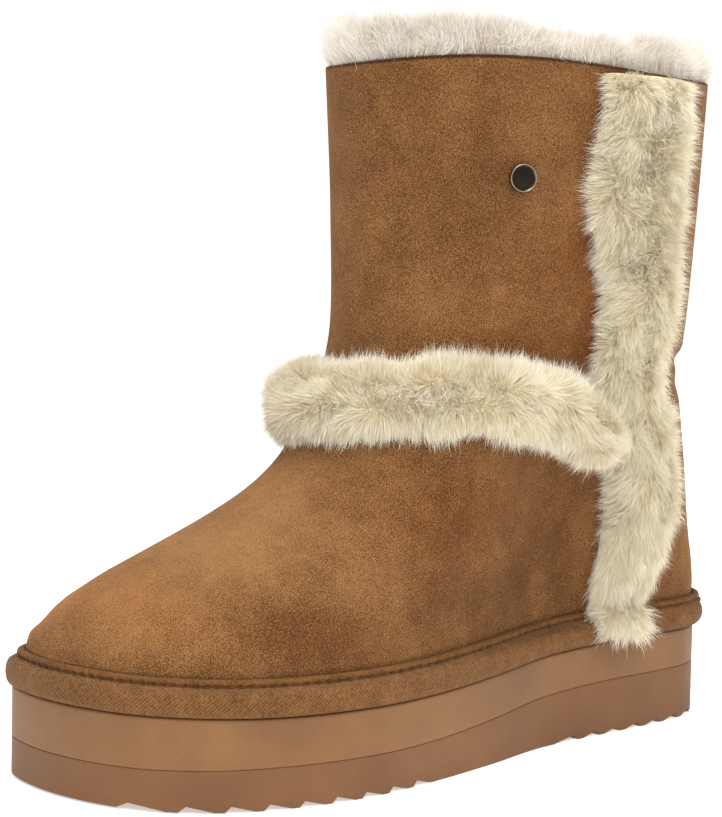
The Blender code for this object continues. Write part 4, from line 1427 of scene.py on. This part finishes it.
class FurStrip(FleecePad):
    """The upright strip of fleece on the outer side."""

    name = "fur_strip"
    width = 0.0430
    proud = 0.0105
    place_y = 0.0690
    hang = 0.0070
    below_edge = 0.0016
    sunk = 0.74
    lumps = ((26, 6), 5)
    pile = Pile(
        fine=120000,
        long=24000,
        length=0.0050,
        lean=(0.0, 0.0, -0.55),
        comb=0.75,
        ragged=0.20,
        droop=1.3,
        tufts=(46, 9),
        waves=(18, 4),
        seed=21,
    )
    # Ring number where the strip starts to climb over the tape, and over how many rings it does.
    climb_from = 0.55
    climb_over = 0.98
    # Share of the way down; the fur's middle as a share of the width; its ground's width as a share.
    line = (
        (0.00, 0.12, 0.22, 0.32, 0.42, 0.53, 0.62, 0.75, 0.85, 0.93, 1.00),
        (-0.22, -0.27, -0.30, -0.26, -0.20, -0.19, 0.03, 0.21, 0.16, 0.04, -0.09),
        (0.86, 0.82, 0.86, 0.74, 0.66, 0.68, 0.68, 0.66, 0.62, 0.58, 0.34),
    )

    def spots(self, down: Array, across: Array) -> tuple[Array, Array, Array, Array]:
        """Around, rise, seat and height of the pad at shares down and across it."""
        last = self.last
        binding_top = float(last.sole_top(self.place_y)) + last.binding_height
        top, bottom = last.collar_height - self.below_edge, binding_top - self.hang
        height = top + (bottom - top) * down
        wide = self.width * spline(self.line[0], self.line[2], down)
        middle = self.place_y + self.width * spline(self.line[0], self.line[1], down)
        y = middle + (across - 0.5) * wide
        around, rise = last.place_at(y, height, 1.0)
        over_binding = Binding.proud_heel + last.feather_inset + 2 * last.gap
        climb = np.clip((self.climb_from - rise) / self.climb_over, 0.0, 1.0)
        seat = self.seat_out + over_binding * climb
        ends = smooth(-0.001, 0.05, down) * (1.0 - 0.9 * smooth(0.76, 1.03, down))
        proud = 0.0010 + self.proud * crown(across, 2.4) * (0.35 + 0.65 * ends)
        return around, rise, seat, proud

    def comb(self, across: Array) -> Array:
        """How far the strands lean across the strip: forwards, but backwards along its back edge."""
        return 1.5 * smooth(0.78, 0.95, across) - 0.75


class FurBand(FleecePad):
    """The roll of fleece round the front of the ankle."""

    name = "fur_band"
    width = 0.0290
    proud = 0.0120
    inner_end = 0.0450
    meets = 0.0010
    sunk = 0.72
    lumps = ((24, 5), 6)
    pile = Pile(
        fine=115000, long=22000, length=0.0048, comb=0.7, ragged=0.2, tufts=(44, 8), waves=(18, 4), seed=31
    )
    # The band's wool is a copy with painted shade towards the boot's inner side.
    look = Wool(name="sheepskin_wool_band", painted_side_shade=(0.84, 0.80, 0.75))
    over_strip = 0.0088
    climb = 0.0036
    inset = 0.68
    # Share of the way from the front to the strip; height and width as shares.
    line = (
        (-1.0, -0.6, -0.3, 0.0, 0.3, 0.6, 0.8, 1.0, 1.3),
        (0.473, 0.488, 0.501, 0.507, 0.519, 0.524, 0.508, 0.470, 0.425),
        (1.05, 1.10, 1.12, 1.06, 1.00, 0.98, 1.04, 1.10, 1.00),
    )

    def spots(self, along: Array, across: Array) -> tuple[Array, Array, Array, Array]:
        """Around, rise, seat and height of the roll at shares along and across it."""
        last = self.last
        meets = FurStrip.place_y - FurStrip.width / 2 + self.meets
        low = np.array([0.48 * last.collar_height])
        strip_edge = float(last.place_at(np.array([meets]), low, 1.0)[0][0])
        outer_end = float(last.place_at(np.array([meets + self.over_strip]), low, 1.0)[0][0])
        inner_end = float(last.place_at(np.array([self.inner_end]), low, -1.0)[0][0])
        turn = outer_end + (inner_end - outer_end) * along
        from_front = turn / strip_edge
        height = last.collar_height * spline(self.line[0], self.line[1], from_front)
        rounded = np.sqrt(1.0 - 0.9 * (1.0 - np.clip(along / 0.07, 0.0, 1.0)) ** 2)
        wide = self.inset * self.width * spline(self.line[0], self.line[2], from_front) * rounded
        y = last.skin(turn, last.rise_at(turn, height))[..., 1]
        height = height + (0.5 - across) * wide
        side = np.where(turn >= 0, 1.0, -1.0)
        upright = last.around_at(y, last.rise_at(turn, height), 1.0) * side
        around = turn + (upright - turn) * smooth(0.45, 0.80, np.abs(from_front))
        rise = last.rise_at(around, height)
        ends = smooth(-0.02, 0.04, along) * (1.0 - smooth(0.95, 1.02, along))
        seat = self.seat_out + self.climb * smooth(0.86, 1.10, from_front)
        return around, rise, seat, 0.0010 + self.proud * crown(across, 2.2) * (0.25 + 0.75 * ends)

    def comb(self, across: Array) -> Array:
        """How far the strands lean across the roll: away from its middle, up and down."""
        return 1.1 * np.sign(across - 0.5) * (2.0 * across - 1.0) ** 2


class FurCollar(FleecePiece):
    """The fleece that stands over the collar and turns down inside."""

    name = "fur_collar"
    stand = 0.0150
    thick = 0.0125
    inside = 0.0280
    look = Wool(name="sheepskin_wool_collar", root="#D9CBAA", body="#E4DDD3", tip="#EFEBE5")
    outer_pile = Pile(
        fine=118000,
        long=24000,
        length=0.0068,
        longer=1.3,
        lean=(0.0, 0.0, 1.7),
        comb=0.95,
        ragged=0.36,
        stray=0.46,
        calm=0.78,
        tufts=(84, 4),
        waves=(24, 2),
        seed=41,
    )
    inner_pile = Pile(
        fine=70000,
        long=14000,
        length=0.0062,
        width=0.00020,
        lean=(0.0, 0.0, 0.9),
        comb=0.4,
        tufts=(80, 7),
        waves=(24, 3),
        seed=43,
    )
    # Share of the way round; the fur's height there, and how far it stands in from the edge.
    line = (
        (0.00, 0.10, 0.155, 0.19, 0.225, 0.26, 0.295, 0.34, 0.42, 0.47, 0.52, 0.57, 0.63, 0.80, 0.94, 1.00),
        (1.04, 1.00, 0.96, 0.56, 0.50, 0.74, 1.00, 0.86, 0.90, 0.72, 0.56, 0.58, 0.86, 1.02, 1.08, 1.04),
        (0.0, 0.0, 0.0, 0.0, 0.0002, 0.0007, 0.0016, 0.0020, 0.0008, 0.0, 0.0, 0.0, 0.0, 0.0, 0.0, 0.0),
    )

    def section(self) -> Array:
        """The roll's closed section as (out, up) from the collar's edge, its ground only."""
        inside = self.last.wall + self.seat_out
        stand, thick = self.stand, self.thick
        return np.array(
            [
                (-inside, -self.inside),
                (-inside, -self.inside * 0.65),
                (-inside, -self.inside * 0.30),
                (-0.0034, self.seat_out),
                (-0.0033, self.seat_out + 0.0006),
                (-0.0031, stand * 0.24),
                (-0.0035, stand * 0.42),
                (-0.0056, stand * 0.58),
                (-thick * 0.62, stand * 0.60),
                (-inside - thick * 0.50, stand * 0.36),
                (-inside - thick * 0.55, -self.inside * 0.15),
                (-inside - thick * 0.50, -self.inside * 0.70),
                (-inside - thick * 0.25, -self.inside),
            ]
        )

    def spot(self, around: Array, out: Array, up: Array) -> Array:
        """Point beside the collar's edge, along the wall below it and upright above it."""
        last = self.last
        around = around % 1.0
        rim = last.skin(around, np.full(around.shape, last.top))[:, 2]
        rise = last.rise_at(around, rim + np.minimum(up, 0.0))
        base = last.skin(around, rise)
        outwards = unit(last.normal(around, np.minimum(rise, last.top - 0.03)) * (1.0, 1.0, 0.0))
        tall = spline(self.line[0], self.line[1], around)
        points = base + outwards * (out - spline(self.line[0], self.line[2], around) * (up > 0.0))[:, None]
        points[:, 2] = rim + np.where(up > self.seat_out, up * tall, up)
        return points

    def build(self) -> None:
        """Makes the ground, then grows the strands outside and inside the ring."""
        section = self.section()
        closed = np.vstack([section, section[:1]])
        length = np.concatenate([[0.0], np.cumsum(np.linalg.norm(np.diff(closed, axis=0), axis=1))])
        length /= length[-1]

        def place(around: Array, along: Array) -> Array:
            """Points of the closed ring at shares round it and round its section."""
            out = np.interp(along, length, closed[:, 0])
            up = np.interp(along, length, closed[:, 1])
            lump = 1.5 * self.lump * ripple(around, along, (60, 16), 7)[:, :2]
            free = smooth(length[4], length[6], along) * (1.0 - smooth(length[11], length[12], along))
            return self.spot(around, out + lump[:, 0] * free, up + lump[:, 1] * free)

        sheet = wrapped(200, 48, place)
        self.ground(sheet)

        def zone(low: float, high: float) -> Surface:
            """The ground between two places of the section."""
            return Surface(lambda u, v: place(u, low + (high - low) * v), 190, 24)

        outer, inner = zone(length[3] - 0.035, length[8]), zone(length[8], length[11])
        away = outer.points - outer.points.mean(axis=(0, 1))
        if float(np.sum(outer.normals[..., :2] * away[..., :2])) < 0.0:
            outer.flip()
            inner.flip()
        look = self.look.material()
        self.strands("wool_outer", self.outer_pile.grow(outer, "collar_wool_outer"), look)
        self.strands("wool_inner", self.inner_pile.grow(inner, "collar_wool_inner"), look)


class Lining(Builder):
    """The fleece inside the boot and the sock that it stands on."""

    pile = 0.0040
    lumps = 0.0010
    columns = 160
    rows = 60
    sock_thick = 0.0045
    below_rim = 0.0240
    wall_gap = 0.0007
    sock_gap = 0.0009
    sock_lumps = 0.0003
    bottom = -0.60

    def build(self) -> None:
        """Lines the wall, then lays the sock."""
        last = self.last
        look = FleeceCloth(name="curled_fleece_lining").material()

        def place(across: Array, along: Array) -> Array:
            """Points of the lining: down its inner face and back up against the wall."""
            down = along <= 0.8
            rim = last.skin(across % 1.0, np.full(across.shape, last.top))[:, 2]
            top = last.rise_at(across % 1.0, rim - self.below_rim)
            tall = top - self.bottom
            rise = np.where(down, top - tall * along / 0.8, self.bottom + tall * (along - 0.8) / 0.2)
            ends = smooth(self.bottom, 0.2, rise) * (1 - smooth(top - 0.5, top, rise))
            lump = self.lumps * ripple(across, along, (70, 60), 9)[:, 0]
            deep = (self.pile + lump) * (0.25 + 0.75 * ends)
            out = -(last.wall + self.wall_gap) - np.where(down, deep, 0.0)
            return last.off_skin(across % 1.0, rise, out)

        self.piece("fleece_lining", wrapped(self.columns, self.rows, place), look, "fur_collar")
        inside = last.wall + self.sock_gap
        outer_at, inner_at = last.half_widths(lambda y: -last.inset(y) - inside)
        toe, heel = last.toe_tip + inside, last.heel_tip - inside

        def sock(across: Array, along: Array) -> Array:
            """Points of the sock: over its crowned top and back along its flat underside."""
            turn = math.pi * (0.004 + 0.992 * along)
            y = (toe + heel) / 2 - (heel - toe) / 2 * np.cos(turn)
            over = across <= 0.6
            share = np.where(over, across / 0.6, (1.0 - across) / 0.4)
            left, right = inner_at(y), outer_at(y)
            edge = 1.0 - np.abs(2 * share - 1.0) ** 8
            lump = self.sock_lumps * ripple(across, along, (40, 60), 12)[:, 0]
            up = np.where(over, (self.sock_thick + lump) * (0.2 + 0.8 * edge), 0.0)
            z = last.sole_top(y) + last.gap + up
            return np.column_stack([left + (right - left) * share, y, z])

        sheet = wrapped(40, 90, sock)
        close_ends(sheet)
        self.piece("fleece_sock", sheet, look, "insole", "insole")


class Stud(Builder):
    """The small round stud: a dark bare face inside a bright rim."""

    diameter = 0.0094
    rise = 0.0018
    place_y = 0.0110
    height = 0.1905
    turns = 96

    def build(self) -> None:
        """Spins the stud's profile and sets it on the shaft."""
        radius, rise = self.diameter / 2, self.rise
        profile = (
            (0.0, rise * 0.72),
            (radius * 0.60, rise * 0.68),
            (radius * 0.80, rise * 0.60),
            (radius * 0.86, rise * 0.64),
            (radius * 0.88, rise * 0.90),
            (radius * 0.92, rise),
            (radius * 0.96, rise * 0.95),
            (radius * 0.99, rise * 0.76),
            (radius, rise * 0.50),
            (radius * 0.96, rise * 0.10),
            (radius * 0.90, 0.0),
            (0.0, 0.0),
        )
        made = bmesh.new()
        verts = [made.verts.new((out, 0.0, up)) for out, up in profile]
        edges = [made.edges.new(pair) for pair in zip(verts, verts[1:])]
        bmesh.ops.spin(
            made,
            geom=verts + edges,
            cent=(0, 0, 0),
            axis=(0, 0, 1),
            angle=2 * math.pi,
            steps=self.turns,
            use_merge=True,
        )
        bmesh.ops.remove_doubles(made, verts=made.verts, dist=1e-7)
        rim = made.verts.layers.float.new("rub")
        for vert in made.verts:
            out = vert.co.xy.length / radius
            vert[rim] = float(smooth(0.85, 0.89, out) * (1.0 - smooth(0.97, 1.0, out)))
        last = self.last
        level = last.rise_at(np.array([0.2]), np.array([self.height]))
        turn = last.around_at(np.array([self.place_y]), level, 1.0)
        seat = last.off_skin(turn, level, np.array([last.gap]))[0]
        turned = Vector(last.normal(turn, level)[0]).to_track_quat("Z", "Y").to_matrix().to_4x4()
        bmesh.ops.transform(made, matrix=Matrix.Translation(Vector(seat)) @ turned, verts=made.verts)
        self.piece("gunmetal_stud", made, Gunmetal().material(), "stud", "stud")


@dataclass(frozen=True)
class Lamp:
    """A soft box: where it hangs, what it faces, how wide it is and how strong."""

    name: str
    place: tuple[float, float, float]
    size: float
    power: float
    colour: str = "#FFFFFF"


@dataclass(frozen=True)
class Studio:
    """The camera at the photo's angle, the soft lights and the pale floor."""

    last: Last
    azimuth: float = 48.666
    elevation: float = 4.025
    roll: float = 1.075
    eye: tuple[float, float, float] = (0.5404, -0.4950, 0.1647)
    lens: float = 96.04
    ambient: float = 0.66
    seen_white: float = 1.12
    bounces: int = 12
    all_bounces: int = 18
    aim: tuple[float, float, float] = (0.0, 0.0, 0.11)
    floor_size: float = 12.0
    lamps: tuple[Lamp, ...] = (
        Lamp("key_softbox", (1.15, -0.55, 1.05), 0.8, 13.5, "#FFFBF5"),
        Lamp("top_softbox", (0.10, -0.20, 1.60), 0.8, 16.0),
    )

    def camera(self) -> None:
        """Stands the camera where the photo was taken from."""
        a, e, roll = (math.radians(angle) for angle in (self.azimuth, self.elevation, self.roll))
        back = Vector((math.sin(a) * math.cos(e), -math.cos(a) * math.cos(e), math.sin(e)))
        right = Vector((math.cos(a), math.sin(a), 0.0))
        up = back.cross(right)
        turned_right = right * math.cos(roll) + up * math.sin(roll)
        turned_up = up * math.cos(roll) - right * math.sin(roll)
        made = bpy.data.objects.new("camera", bpy.data.cameras.new("camera"))
        made.data.lens = self.lens
        made.data.clip_start, made.data.clip_end = 0.01, 100.0
        turned = Matrix((turned_right, turned_up, back)).transposed().to_4x4()
        made.matrix_world = Matrix.Translation(Vector(self.eye) + Vector(self.last.shift)) @ turned
        bpy.context.scene.collection.objects.link(made)
        bpy.context.scene.camera = made

    def light(self) -> None:
        """Hangs the soft boxes and lights the room evenly."""
        scene = bpy.context.scene
        for lamp in self.lamps:
            data = bpy.data.lights.new(lamp.name, "AREA")
            data.shape, data.size, data.energy = "DISK", lamp.size, lamp.power
            data.color = linear(lamp.colour)[:3]
            made = bpy.data.objects.new(lamp.name, data)
            made.location = lamp.place
            made.rotation_euler = (Vector(self.aim) - Vector(lamp.place)).to_track_quat("-Z", "Y").to_euler()
            scene.collection.objects.link(made)
        world = bpy.data.worlds.new("white_room")
        world.use_nodes = True
        tree = world.node_tree
        out = tree.nodes["World Output"]
        tree.nodes.remove(tree.nodes["Background"])
        seen = add(tree, "ShaderNodeBackground", Color=(1, 1, 1, 1), Strength=self.seen_white)
        lit = add(tree, "ShaderNodeBackground", Color=(1, 1, 1, 1), Strength=self.ambient)
        path = add(tree, "ShaderNodeLightPath")
        mixed = {"i0": path.outputs["Is Camera Ray"], "i1": lit.outputs[0], "i2": seen.outputs[0]}
        both = add(tree, "ShaderNodeMixShader", **mixed)
        tree.links.new(both.outputs[0], out.inputs["Surface"])
        scene.world = world
        scene.view_settings.view_transform = "Standard"
        scene.cycles.max_bounces = self.all_bounces
        scene.cycles.diffuse_bounces = self.bounces

    def floor(self) -> None:
        """Lays the pale floor."""
        sheet = bmesh.new()
        bmesh.ops.create_grid(sheet, x_segments=8, y_segments=8, size=self.floor_size / 2)
        mesh = bpy.data.meshes.new("studio_floor")
        sheet.to_mesh(mesh)
        sheet.free()
        mesh.materials.append(StudioPaper().material())
        made = bpy.data.objects.new("studio_floor", mesh)
        bpy.context.scene.collection.objects.link(made)


def packed_last() -> Last:
    """The last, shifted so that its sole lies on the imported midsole."""
    plain = Last()
    ring = plain.outline(72)
    low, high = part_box("midsole")
    shift_x = (low.x + high.x) / 2 - (ring[:, 0].min() + ring[:, 0].max()) / 2
    shift_y = (low.y + high.y) / 2 - (ring[:, 1].min() + ring[:, 1].max()) / 2
    return Last(shift=(shift_x, shift_y, 0.0))


def main() -> None:
    """Builds the studio, then every piece of the boot."""
    logging.basicConfig(level=logging.INFO, format="%(name)s %(message)s")
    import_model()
    last = packed_last()
    studio = Studio(last)
    studio.camera()
    studio.light()
    studio.floor()
    for builder in (Platform, Binding, Upper, Lining, FurCollar, FurStrip, FurBand, Stud):
        builder(last).build()
        LOG.info("%s built", builder.__name__)
    bpy.context.view_layer.update()


if __name__ == "__main__":
    main()
